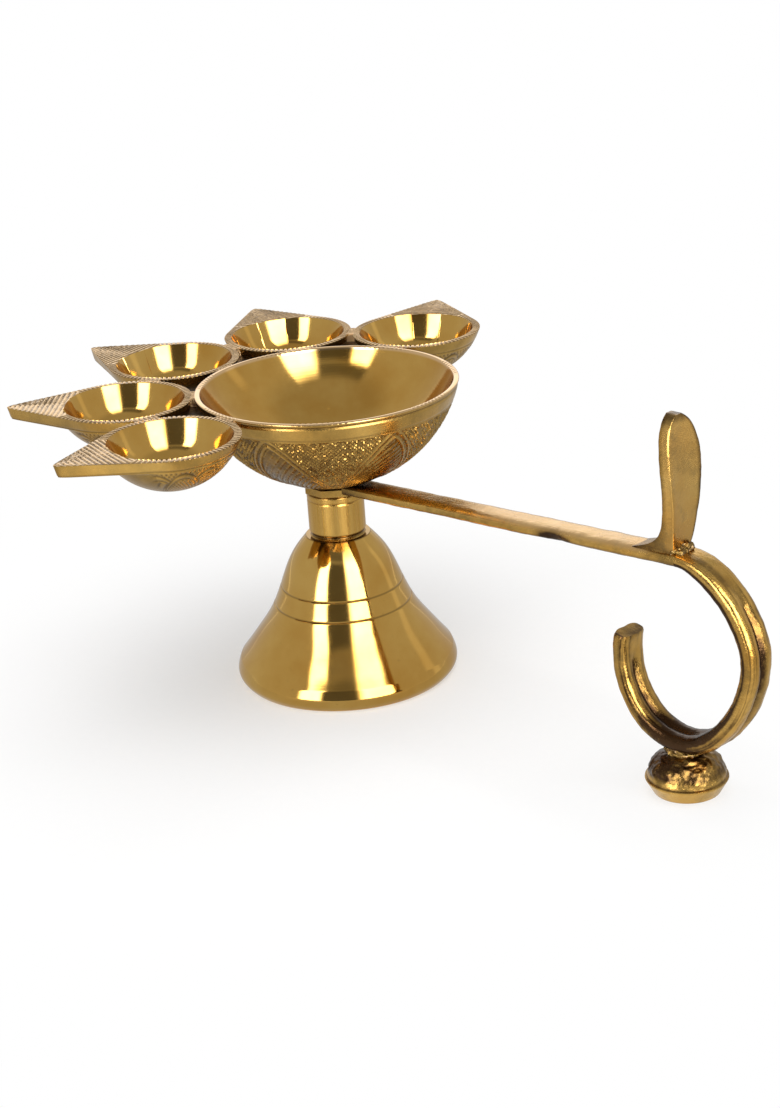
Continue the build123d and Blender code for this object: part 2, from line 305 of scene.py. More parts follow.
# Foot and brazing lumps
FOOT_BOTTOM_RADIUS = 9.2
FOOT_BAND = 4.5
FOOT_STEP = 0.6
FOOT_TOP_RADIUS = 5.0
FOOT_SWELL = 0.8
FOOT_EDGE = 0.6
FOOT_COLUMNS = 128
FOOT_DOME_ROWS = 40
FOOT_BAND_ROWS = 12
FOOT_SHOULDER = ((0.05, 0.3), (0.36, 0.1))
FOOT_ROUGH_START = (-0.2, 1.5)
FOOT_SEAM_WIDTH = 0.4
FOOT_SHADED_SIDE = math.radians(215.0)
FOOT_DARK_RISE = 2.5
LUMP_ROWS = 40
LUMP_COLUMNS = 64
HOOD_LUMP_SIZE = (2.4, 4.1, 1.5)
HOOD_LUMP_SHIFT = 2.6
HOOD_LUMP_RISE = 0.1
FOOT_LUMP_SIZE = (5.0, 5.6, 1.9)
FOOT_LUMP_SHIFT = -0.4
FOOT_LUMP_RISE = 0.4

# Stud, washer and nut
THREAD_PITCH = 1.0
THREAD_DEPTH = 0.34
THREAD_STEP = 0.1
STUD_COLUMNS = 64
STUD_END = 0.7
STUD_END_SHARE = 0.8
WASHER_COLUMNS = 96
WASHER_ROUND = 0.5
WASHER_CHAMFER = 0.3
WASHER_HOLE_DROP = 0.2
WASHER_RIM_DROP = 0.15
WASHER_FLAT_INSET = 0.7
WASHER_ARC_POINTS = 6
NUT_COLUMNS = 180
NUT_SIDES = 6
NUT_CLEARANCE = 0.06
NUT_CHAMFER = 0.5
NUT_CORNER_CUT = 1.03
NUT_CORNER_DROP = 0.75
NUT_LOW_EDGE = (0.35, 0.25)
NUT_HIGH_EDGE = (0.3, 0.2)

# Grain of the castings and lumps: size, depth and seed
ARM_GRAIN = (6.0, 0.12, 3.1)
LOOP_GRAIN = (4.0, 0.16, 7.7)
HOOD_GRAIN = (5.0, 0.13, 12.3)
FOOT_GRAIN = (3.0, 0.35, 21.4)
LUMP_GRAIN = (2.2, 0.75)
LUMP_FINE_GRAIN = (0.8, 0.22)
LUMP_FINE_SEED = 5
HOOD_LUMP_SEED = 2.5
FOOT_LUMP_SEED = 9.1

# Levels and middles
rim_z = bowl_high[2] - RIM_ROUND
eye_top = neck_high[2] + EYE_THICKNESS
bowl_radius = bowl_high[0]
foot_middle = (foot_low[0] + foot_high[0]) / 2


# Curve helpers
def path_lengths(points):
    return np.concatenate(([0.0], np.cumsum(np.hypot(*np.diff(points, axis=0).T))))


def natural_spline(points, count):
    points = np.array(points, float)
    knots = path_lengths(points)
    chord = np.diff(knots)
    size = len(knots)
    system = np.eye(size)
    right = np.zeros_like(points)
    for i in range(1, size - 1):
        before, after = chord[i - 1], chord[i]
        system[i, i - 1:i + 2] = (before, 2 * (before + after), after)
        right[i] = 6 * ((points[i + 1] - points[i]) / after - (points[i] - points[i - 1]) / before)
    bend = np.linalg.solve(system, right)
    where = np.linspace(0, knots[-1], count)
    index = np.clip(np.searchsorted(knots, where, side="right") - 1, 0, size - 2)
    span = chord[index][:, None]
    near = (where - knots[index])[:, None]
    far = span - near
    first, second = points[index], points[index + 1]
    bend_first, bend_second = bend[index], bend[index + 1]
    curve = (bend_first * far**3 + bend_second * near**3) / (6 * span)
    curve += (first / span - bend_first * span / 6) * far
    curve += (second / span - bend_second * span / 6) * near
    return curve


def arc_points(center, radius, start, end, count):
    angles = np.radians(np.linspace(start, end, count))
    return np.stack((center[0] + radius * np.cos(angles), center[1] + radius * np.sin(angles)), axis=1)


def smooth_step(low, high, value):
    share = np.clip((value - low) / (high - low), 0, 1)
    return share * share * (3 - 2 * share)


def ridge(distance, width):
    return np.exp(-((distance / width) ** 2))


# Mesh helpers
def unit_rows(directions):
    return directions / np.maximum(np.linalg.norm(directions, axis=-1), TINY)[..., None]


def full_turn(columns):
    return np.arange(columns) * TAU / columns


def ring_row(radius, angle, level):
    height = np.broadcast_to(level, angle.shape)
    return np.stack((radius * np.cos(angle), radius * np.sin(angle), height), axis=1)


def flat_sided(angle, sides, apothem):
    sector = TAU / sides
    return apothem / np.cos((angle + sector / 2) % sector - sector / 2)


def placed(rows, x, y, angle):
    turned = rows.copy()
    turned[..., 0] = x + rows[..., 0] * math.cos(angle) - rows[..., 1] * math.sin(angle)
    turned[..., 1] = y + rows[..., 0] * math.sin(angle) + rows[..., 1] * math.cos(angle)
    turned[..., 2] += rim_z
    return turned


def grid_faces(rows, columns, close_rows=False):
    row_count = rows if close_rows else rows - 1
    row, column = np.meshgrid(np.arange(row_count), np.arange(columns), indexing="ij")
    next_row = (row + 1) % rows
    next_column = (column + 1) % columns
    corners = (
        row * columns + column,
        row * columns + next_column,
        next_row * columns + next_column,
        next_row * columns + column,
    )
    return np.stack(corners, axis=-1).reshape(-1, 4)


def capped(rows, columns):
    faces = grid_faces(rows, columns).tolist()
    faces.append(list(range(columns))[::-1])
    faces.append(list(range((rows - 1) * columns, rows * columns)))
    return faces


def add_object(name, data):
    added = bpy.data.objects.new(name, data)
    bpy.context.scene.collection.objects.link(added)
    return added


def set_mark(mesh, mark, values):
    attribute = mesh.attributes.new(mark, "FLOAT", "POINT")
    attribute.data.foreach_set("value", np.asarray(values, np.float32).ravel())


# A piece of the lamp: home is its body, its material slot and the node that it stands in for, if any
def make_piece(name, home, vertices, faces, material, marks):
    mesh = bpy.data.meshes.new(name)
    points = np.asarray(vertices).reshape(-1, 3) * MM
    mesh.from_pydata(points.tolist(), [], [list(face) for face in faces])
    for mark, values in marks.items():
        set_mark(mesh, mark, values)
    shape = bmesh.new()
    shape.from_mesh(mesh)
    bmesh.ops.remove_doubles(shape, verts=shape.verts, dist=MERGE_DISTANCE)
    bmesh.ops.recalc_face_normals(shape, faces=shape.faces)
    shape.to_mesh(mesh)
    shape.free()
    mesh.shade_smooth()
    mesh.set_sharp_from_angle(angle=SHARP_ANGLE)
    mesh.materials.append(material)
    piece = add_object(name, mesh)
    body, slot, *nodes = home
    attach(piece, body)
    if nodes:
        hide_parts(*nodes)


def revolve(profile, columns, middle=(0.0, 0.0)):
    profile = np.asarray(profile, float)
    angles = full_turn(columns)
    radius = profile[:, 0][:, None]
    x = middle[0] + radius * np.cos(angles)
    y = middle[1] + radius * np.sin(angles)
    z = np.broadcast_to(profile[:, 1][:, None], x.shape)
    return np.stack((x, y, z), axis=-1)


def make_turned(name, home, profile, patina_and_shade, columns, material):
    marks = {"patina_and_shade": np.repeat(patina_and_shade[:, None], columns, axis=1)}
    faces = grid_faces(len(profile), columns, True)
    make_piece(name, home, revolve(profile, columns), faces, material, marks)


def roughen(vertices, normals, size, depth, seed):
    shift = Vector((seed, seed, seed))
    flat = vertices.reshape(-1, 3)
    lift = np.array([noise.fractal(Vector(point) / size + shift, 0.8, 2.0, 3) for point in flat])
    return vertices + normals * (lift * depth).reshape(vertices.shape[:-1])[..., None]


# Material helpers
def empty_material(name):
    material = bpy.data.materials.new(name)
    material.use_nodes = True
    tree = material.node_tree
    tree.nodes.clear()
    return material, tree, tree.nodes.new("ShaderNodeOutputMaterial")


def new_material(name):
    material, tree, output = empty_material(name)
    shader = tree.nodes.new("ShaderNodeBsdfPrincipled")
    shader.inputs["Metallic"].default_value = 1.0
    tree.links.new(shader.outputs["BSDF"], output.inputs["Surface"])
    return material, tree, shader


def object_place(tree, stretch=(1.0, 1.0, 1.0)):
    place = tree.nodes.new("ShaderNodeTexCoord")
    mapping = tree.nodes.new("ShaderNodeMapping")
    mapping.inputs["Scale"].default_value = stretch
    tree.links.new(place.outputs["Object"], mapping.inputs["Vector"])
    return mapping.outputs["Vector"]


def noise_value(tree, scale, detail=4.0, roughness=0.6, stretch=(1.0, 1.0, 1.0)):
    texture = tree.nodes.new("ShaderNodeTexNoise")
    texture.inputs["Scale"].default_value = scale
    texture.inputs["Detail"].default_value = detail
    texture.inputs["Roughness"].default_value = roughness
    tree.links.new(object_place(tree, stretch), texture.inputs["Vector"])
    return texture.outputs["Fac"]


def spread(tree, value, seen, result):
    node = tree.nodes.new("ShaderNodeMapRange")
    node.inputs["From Min"].default_value, node.inputs["From Max"].default_value = seen
    node.inputs["To Min"].default_value, node.inputs["To Max"].default_value = result
    tree.links.new(value, node.inputs["Value"])
    return node.outputs["Result"]


def patches(tree, scale, seen, result=(0.0, 1.0), **pattern):
    return spread(tree, noise_value(tree, scale, **pattern), seen, result)


def calculate(tree, operation, first, second):
    node = tree.nodes.new("ShaderNodeMath")
    node.operation = operation
    for socket, value in zip(node.inputs, (first, second)):
        if isinstance(value, float):
            socket.default_value = value
        else:
            tree.links.new(value, socket)
    return node.outputs["Value"]


def blend_colors(tree, share, first, second):
    node = tree.nodes.new("ShaderNodeMix")
    node.data_type = "RGBA"
    tree.links.new(share, node.inputs["Factor"])
    for socket, value in ((node.inputs["A"], first), (node.inputs["B"], second)):
        if isinstance(value, tuple):
            socket.default_value = (*value, 1.0)
        else:
            tree.links.new(value, socket)
    return node.outputs["Result"]


def layer_colors(tree, color, *layers):
    for share, top in layers:
        color = blend_colors(tree, share, color, top)
    return color


def mark_value(tree, mark):
    node = tree.nodes.new("ShaderNodeAttribute")
    node.attribute_name = mark
    return node.outputs["Fac"]


# Patina and painted shade, made patchy by noise
def patchy_patina_and_shade(tree, darkening):
    return calculate(tree, "MULTIPLY", mark_value(tree, "patina_and_shade"), darkening)


def coat(tree, shader, color, roughness, height, relief, strength):
    tree.links.new(color, shader.inputs["Base Color"])
    tree.links.new(roughness, shader.inputs["Roughness"])
    bump = tree.nodes.new("ShaderNodeBump")
    bump.inputs["Strength"].default_value = strength
    bump.inputs["Distance"].default_value = relief * MM
    tree.links.new(height, bump.inputs["Height"])
    tree.links.new(bump.outputs["Normal"], shader.inputs["Normal"])


# Brass colours
GOLD = (0.66, 0.41, 0.11)
WARM_GOLD = (0.56, 0.30, 0.06)
PALE_GOLD = (0.80, 0.54, 0.29)
OLIVE_BRASS = (0.33, 0.21, 0.06)
# Dark brown: patina in hollows, and also painted shade in crevices, under parts and along shaded edges
PATINA_AND_SHADE = (0.055, 0.028, 0.012)
# Near black: dark dirt in the filler's notches, and painted shade on the dark plates in the gaps between
# the rims
SOOT_AND_SHADE = (0.02, 0.011, 0.007)
TURNING_STRETCH = (0.004, 0.004, 1.0)


def polished_brass():
    material, tree, shader = new_material("polished_brass")
    cloud = patches(tree, 38.0, (0.35, 0.7))
    specks = patches(tree, 900.0, (0.70, 0.78), (0.0, 0.55), detail=2.0)
    patina_and_shade = mark_value(tree, "patina_and_shade")
    color = layer_colors(tree, GOLD, (cloud, WARM_GOLD), (specks, OLIVE_BRASS), (patina_and_shade, PATINA_AND_SHADE))
    smear = noise_value(tree, 60.0, 5.0, 0.7, (1.0, 1.0, 0.35))
    smear = spread(tree, smear, (0.3, 0.75), (0.05, 0.11))
    turning = noise_value(tree, 2600.0, 3.0, 0.7, TURNING_STRETCH)
    coat(tree, shader, color, smear, turning, 0.04, 0.14)
    return material


def brushed_brass():
    material, tree, shader = new_material("brushed_brass")
    streak = noise_value(tree, 900.0, 4.0, 0.65, (1.0, 1.0, 0.03))
    cloud = spread(tree, streak, (0.35, 0.7), (0.0, 1.0))
    color = layer_colors(tree, GOLD, (cloud, WARM_GOLD), (mark_value(tree, "patina_and_shade"), PATINA_AND_SHADE))
    coat(tree, shader, color, spread(tree, streak, (0.3, 0.7), (0.16, 0.32)), streak, 0.08, 0.4)
    return material


def engraved_brass():
    material, tree, shader = new_material("engraved_brass")
    cloud = patches(tree, 42.0, (0.35, 0.7))
    outside = mark_value(tree, "outside")
    grime = patches(tree, 70.0, (0.36, 0.66), (0.0, 0.75), detail=5.0, roughness=0.7)
    grime = calculate(tree, "MULTIPLY", grime, outside)
    pale = mark_value(tree, "pale")
    patina_and_shade = patchy_patina_and_shade(tree, patches(tree, 150.0, (0.3, 0.62), (0.55, 1.0)))
    layers = ((cloud, WARM_GOLD), (grime, OLIVE_BRASS), (pale, PALE_GOLD), (patina_and_shade, PATINA_AND_SHADE))
    color = layer_colors(tree, GOLD, *layers)
    dull = calculate(tree, "MULTIPLY", outside, 0.17)
    smear = patches(tree, 90.0, (0.3, 0.75), (0.05, 0.11), detail=5.0, roughness=0.7)
    turning = noise_value(tree, 2200.0, 3.0, 0.7, TURNING_STRETCH)
    pitting = calculate(tree, "MULTIPLY", noise_value(tree, 1500.0, 3.0), outside)
    height = calculate(tree, "ADD", calculate(tree, "MULTIPLY", turning, 0.35), pitting)
    coat(tree, shader, color, calculate(tree, "ADD", smear, dull), height, 0.1, 0.35)
    return material


def cast_brass():
    material, tree, shader = new_material("cast_brass")
    cloud = patches(tree, 75.0, (0.32, 0.7), detail=5.0, roughness=0.65)
    blotch = patches(tree, 130.0, (0.5, 0.7), (0.0, 0.75), detail=5.0, roughness=0.7)
    # Pale gold on the cast parts is a painted highlight on the arm's top and the hood's front face
    pale = mark_value(tree, "pale")
    patina_and_shade = patchy_patina_and_shade(tree, patches(tree, 260.0, (0.3, 0.6), (0.6, 1.0), roughness=0.7))
    layers = ((cloud, WARM_GOLD), (blotch, OLIVE_BRASS), (pale, PALE_GOLD), (patina_and_shade, PATINA_AND_SHADE))
    color = layer_colors(tree, GOLD, *layers)
    wear = patches(tree, 160.0, (0.3, 0.72), (0.14, 0.32), detail=5.0, roughness=0.7)
    grain = noise_value(tree, 700.0, 5.0, 0.65)
    filing = noise_value(tree, 1500.0, 2.0, 0.5, (0.15, 1.0, 1.0))
    height = calculate(tree, "ADD", grain, calculate(tree, "MULTIPLY", filing, 0.5))
    coat(tree, shader, color, wear, height, 0.22, 0.5)
    return material


def filler_metal():
    material, tree, shader = new_material("filler_metal")
    lumps = patches(tree, 520.0, (0.36, 0.66), detail=5.0, roughness=0.7)
    bright = patches(tree, 800.0, (0.58, 0.7), (0.0, 0.8), detail=3.0)
    pale = mark_value(tree, "pale")
    patina_and_shade = mark_value(tree, "patina_and_shade")
    layers = ((lumps, OLIVE_BRASS), (bright, PALE_GOLD), (pale, PALE_GOLD), (patina_and_shade, SOOT_AND_SHADE))
    color = layer_colors(tree, PATINA_AND_SHADE, *layers)
    dullness = spread(tree, lumps, (0.0, 1.0), (0.5, 0.3))
    coat(tree, shader, color, dullness, noise_value(tree, 1300.0, 5.0, 0.7), 0.3, 0.7)
    return material


def hardware_brass():
    material, tree, shader = new_material("hardware_brass")
    cloud = patches(tree, 240.0, (0.35, 0.65))
    color = layer_colors(tree, GOLD, (cloud, OLIVE_BRASS), (mark_value(tree, "patina_and_shade"), PATINA_AND_SHADE))
    wear = patches(tree, 500.0, (0.3, 0.7), (0.22, 0.42), roughness=0.7)
    coat(tree, shader, color, wear, noise_value(tree, 1400.0, 3.0), 0.1, 0.4)
    return material


polished = polished_brass()
brushed = brushed_brass()
engraved = engraved_brass()
cast = cast_brass()
filler = filler_metal()
hardware = hardware_brass()


# Bell
def make_bell():
    base_height = bell_high[2]
    lip_radius = BELL_RADIUS - LIP_LEAN
    points = [(lip_radius, LIP_TOP)]
    for radius_share, height_share in BELL_SHAPE:
        height = LIP_TOP + height_share * (base_height - LIP_TOP)
        points.append((CROWN_RADIUS + radius_share * (lip_radius - CROWN_RADIUS), height))
    points.append((CROWN_RADIUS, base_height))
    side = natural_spline(points, BELL_SAMPLES)
    travel = path_lengths(side)
    along = np.gradient(side, axis=0)
    outward = unit_rows(np.stack((along[:, 1], -along[:, 0]), axis=1))
    cut = np.zeros(len(side))
    for share in TURNED_LINES:
        cut = np.maximum(cut, ridge(travel - share * travel[-1], TURNED_LINE_WIDTH))
    lined_side = side - outward * (cut * TURNED_LINE_DEPTH)[:, None]
    standing = BELL_RADIUS - LIP_UNDERCUT
    lip_points = [(standing, 0.0), (BELL_RADIUS, LIP_BULGE_HEIGHT), (lip_radius, LIP_TOP)]
    lip = natural_spline(lip_points, LIP_SAMPLES)[:-1].tolist()
    under = base_height - CROWN_THICKNESS
    inner = (side - outward * BELL_WALL)[side[:, 1] < under - BELL_WALL]
    roof = [(STUD_HOLE, base_height), (STUD_HOLE, under), (inner[-1][0] - BELL_WALL / 2, under)]
    floor_ring = [(standing - BELL_WALL, 0.0)]
    profile = lip + lined_side.tolist() + roof + inner[::-BELL_INNER_SKIP].tolist() + floor_ring
    crown = len(lip) + len(side)
    patina_and_shade = np.zeros(len(profile))
    patina_and_shade[len(lip):crown] = TURNED_LINE_STAIN * cut
    patina_and_shade[crown - 2:crown + 2] = TURNED_LINE_STAIN
    home = ("base", "polished_brass", "bell_base")
    make_turned("bell", home, profile, patina_and_shade, BELL_COLUMNS, polished)


# Neck
def make_neck():
    radius, low, high = neck_high[0], neck_low[2], neck_high[2]
    heights = np.linspace(low, high, NECK_SAMPLES)
    groove = NECK_GROOVE_DEPTH * ridge(heights - low - NECK_GROOVE_RISE, NECK_GROOVE_WIDTH)
    groove += NECK_LINE_DEPTH * ridge(heights - high + NECK_LINE_DROP, NECK_LINE_WIDTH)
    edge = NECK_EDGE_WIDTH * smooth_step(high - NECK_EDGE_HEIGHT, high, heights)
    side = np.stack((radius - groove - edge, heights), axis=1)
    profile = [[STUD_HOLE, low]] + side.tolist() + [[STUD_HOLE, high]]
    # Patina in the grooves, and painted shade on the top rows under the eye plate
    darkening = 1.2 * groove + 0.7 * smooth_step(high - NECK_SHADE_HEIGHT, high, heights)
    patina_and_shade = np.concatenate(([1.0], np.clip(darkening, 0, 1), [1.0]))
    home = ("base", "polished_brass", "neck_collar")
    make_turned("neck", home, profile, patina_and_shade, NECK_COLUMNS, brushed)


# Engraving of the bowl: broad pointed petals with double outlines on a ground of small dots
def bowl_engraving(turn, depth, top):
    away = np.abs((turn * BOWL_PETALS + BOWL_PETAL_PHASE) % 1.0 * 2 - 1) / BOWL_PETAL_WIDTH
    outline = top + BOWL_PETAL_DROP * away**BOWL_PETAL_POWER
    steep = BOWL_PETAL_POWER * BOWL_PETAL_DROP / BOWL_PETAL_WIDTH * away ** (BOWL_PETAL_POWER - 1)
    steep = steep * 2 * BOWL_PETALS / (TAU * bowl_radius)
    inward = (depth - outline) / np.sqrt(1 + steep**2)
    cell_counts = (len(depth) // CELL_SIZE + 1, turn.shape[1] // CELL_SIZE)
    cells = np.random.default_rng(ENGRAVING_SEED).random(cell_counts)
    cells = np.repeat(np.repeat(cells, CELL_SIZE, axis=0), CELL_SIZE, axis=1)[:len(depth)]
    dots = np.sin(TAU * turn * BOWL_DOTS) * np.sin(TAU * depth / DOT_PITCH) + 1.3 * cells - 0.45
    ground = 0.95 - 0.95 * np.clip(dots, 0, 1)
    slant = np.sin(TAU * (turn * BOWL_DOTS + depth / DOT_PITCH) / 2)
    veins = np.clip(slant + 0.9 * cells - 0.5, 0, 1)
    pattern = np.where(inward > 0, 1.0 - 0.5 * veins, ground)
    for step in BOWL_LINE_STEPS:
        near = np.abs(inward - step)
        line = 0.8 * ridge(near - BOWL_LINE_EDGE, BOWL_LINE_WIDTH) + 0.3 * cells
        pattern = np.where(near < BOWL_LINE_HALF, line, pattern)
    return pattern * smooth_step(top - ENGRAVING_EDGE, top + ENGRAVING_EDGE, depth)


# Bowl
def make_bowl():
    turn = np.arange(BOWL_COLUMNS) / BOWL_COLUMNS
    drop = BOWL_LIFT + BOWL_DEPTH + BOWL_SAG
    width = bowl_radius / math.sqrt(1 - (BOWL_LIFT / drop) ** 2)
    bottom = rim_z - BOWL_DEPTH
    seat = math.acos((BOWL_LIFT + BOWL_DEPTH) / drop)
    angles = np.linspace(math.acos(BOWL_LIFT / drop), seat, BOWL_SAMPLES)
    outer = np.stack((width * np.sin(angles), rim_z + BOWL_LIFT - drop * np.cos(angles)), axis=1)
    normal = unit_rows(np.stack((drop * np.sin(angles), -width * np.cos(angles)), axis=1))
    travel = path_lengths(outer)[:, None]
    band_line = 0.4 * ridge(travel - PLAIN_BAND, BAND_LINE_WIDTH)
    edge_line = 0.85 * ridge(travel - EDGE_LINE_DROP, EDGE_LINE_WIDTH)
    fade = 1 - smooth_step(*(travel[-1] - length for length in ENGRAVING_FADE), travel)
    pattern = bowl_engraving(turn[None, :], travel, PLAIN_BAND + 2 * BAND_LINE_WIDTH) * fade
    pattern = np.maximum(pattern, np.maximum(band_line, edge_line))
    inner_radius = bowl_radius - BOWL_RIM
    hollow = (inner_radius**2 + BOWL_HOLLOW_DEPTH**2) / (2 * BOWL_HOLLOW_DEPTH)
    inner_angles = np.linspace(math.asin(inner_radius / hollow), 0, BOWL_INNER_SAMPLES)
    inner_level = rim_z + hollow - BOWL_HOLLOW_DEPTH - hollow * np.cos(inner_angles)
    inner = np.stack((hollow * np.sin(inner_angles), inner_level), axis=1)
    rim = [(inner_radius + inset, rim_z + height) for inset, height in RIM_CURVE]
    rim.append((bowl_radius - BOWL_RIM / 2, rim_z + RIM_ROUND))
    rim += [(bowl_radius - inset, rim_z + height) for inset, height in RIM_CURVE[::-1]]
    boss = [
        (BOSS_RADIUS + BOSS_EDGE, bottom), (BOSS_RADIUS, bottom - BOSS_EDGE),
        (BOSS_RADIUS, eye_top + BOSS_EDGE), (BOSS_RADIUS - BOSS_EDGE, eye_top), (0.0, eye_top),
    ]
    profile = np.concatenate((inner[::-1], rim, outer, boss))
    vertices = revolve(profile, BOWL_COLUMNS)
    first = len(inner) + len(rim)
    last = first + len(outer)
    vertices[first:last] -= revolve(normal, BOWL_COLUMNS) * (pattern * ENGRAVING_DEPTH)[..., None]
    nick_groups = smooth_step(-0.2, 0.5, np.sin(TAU * (turn * NICK_GROUPS + NICK_GROUP_PHASE)))
    nicks = np.clip(np.sin(TAU * turn * RIM_NICKS) - 0.35, 0, 1) * nick_groups
    vertices[len(inner):first, :, 2] -= NICK_DEPTH * nicks
    patina_and_shade, outside, pale = np.zeros((3, len(profile), BOWL_COLUMNS))
    wear = 0.5 + 0.5 * np.cos(TAU * turn - WORN_SIDE)
    grime = (0.05 + 0.3 * (1 - wear)) * smooth_step(*GRIME_START, travel - PLAIN_BAND)
    patina_and_shade[first:last] = np.maximum(np.clip(1.1 * pattern, 0, 1) * (1 - 0.5 * wear), grime)
    patina_and_shade[len(inner):first] = 0.5 * nicks
    # Painted shade: the lowest rows and the boss under the bowl are dark where the bowl sits on the eye
    # plate
    shaded_bottom_rows = patina_and_shade[last - SHADED_BOTTOM_ROWS:]
    shaded_bottom_rows[:] = np.maximum(shaded_bottom_rows, 0.75)
    patina_and_shade[last - 1:] = 1.0
    outside[first:] = 1.0
    pale[len(inner) - 1:first] = 0.85
    marks = {"patina_and_shade": patina_and_shade, "outside": outside, "pale": pale}
    faces = grid_faces(len(profile), BOWL_COLUMNS)
    make_piece("bowl", ("head", "engraved_brass", "center_bowl"), vertices, faces, engraved, marks)


# Engraving of the cups: overlapping petals, hatched and stippled
def petal_lines(inward):
    outer_width, inner_width = CUP_LINE_WIDTHS
    return np.maximum(ridge(inward, outer_width), 0.9 * ridge(inward - CUP_LINE_STEP, inner_width))


def cup_engraving(turn, depth):
    inward = []
    for phase in (0.0, 0.5):
        away = np.abs((turn * CUP_PETALS + phase) % 1.0 * 2 - 1)
        below_tip = depth - CUP_ENGRAVING_TOP - CUP_PETAL_START
        inward.append(below_tip - CUP_PETAL_DROP * away**CUP_PETAL_POWER)
    front, back = inward
    in_front = front > 0
    in_back = (back > 0) & ~in_front
    lines = petal_lines(front)
    lines = np.where(in_front, lines, np.maximum(lines, petal_lines(back)))
    hatch = np.clip(np.sin(TAU * (turn * CUP_DOTS / 2 + depth / CUP_HATCH_PITCH)), 0, 1) ** 1.5
    stipple = np.clip(np.sin(TAU * turn * CUP_DOTS) * np.sin(TAU * depth / CUP_DOT_PITCH), 0, 1) ** 0.7
    pattern = np.where(in_front, stipple * (front > CUP_PETAL_INSET), stipple)
    pattern = np.where(in_back, hatch * (back > CUP_PETAL_INSET), pattern)
    edge = smooth_step(CUP_ENGRAVING_TOP - ENGRAVING_EDGE, CUP_ENGRAVING_TOP + ENGRAVING_EDGE, depth)
    return np.maximum(lines, 0.95 * pattern) * edge


# Outline of a cup from above: a circle drawn out to a point
def leaf_outline(angle, radius, reach):
    reach = max(reach, radius * LEAST_POINT)
    touch = math.acos(radius / reach)
    upper = radius / np.cos(np.clip(angle - touch, -STEEPEST, STEEPEST))
    lower = radius / np.cos(np.clip(angle + touch, -STEEPEST, STEEPEST))
    soft = -np.log(np.exp(-TIP_SOFTNESS * (upper - reach)) + np.exp(-TIP_SOFTNESS * (lower - reach)))
    near_tip = np.minimum(np.where(angle > 0, upper, lower), reach + soft / TIP_SOFTNESS)
    return np.where(np.abs(angle) < touch, near_tip, radius)


def hollow_profile(rim_radius):
    corner = rim_radius - HOLLOW_DEPTH * math.tan(HOLLOW_LEAN)
    flat = corner - HOLLOW_CORNER * math.tan(math.pi / 4 - HOLLOW_LEAN / 2)
    middle = (flat, HOLLOW_CORNER - HOLLOW_DEPTH)
    floor_samples, bend_samples, wall_samples = HOLLOW_SAMPLES
    floor = np.linspace((0.0, -HOLLOW_DEPTH), (flat, -HOLLOW_DEPTH), floor_samples)
    bend = arc_points(middle, HOLLOW_CORNER, -90, -math.degrees(HOLLOW_LEAN), bend_samples)
    wall = np.linspace(bend[-1], (rim_radius, 0.0), wall_samples)
    return np.concatenate((floor[:-1], bend, wall[1:]))


def notches(distance):
    return np.clip(np.sin(TAU * distance / NOTCH_PITCH) + NOTCH_SHARE, 0, 1)


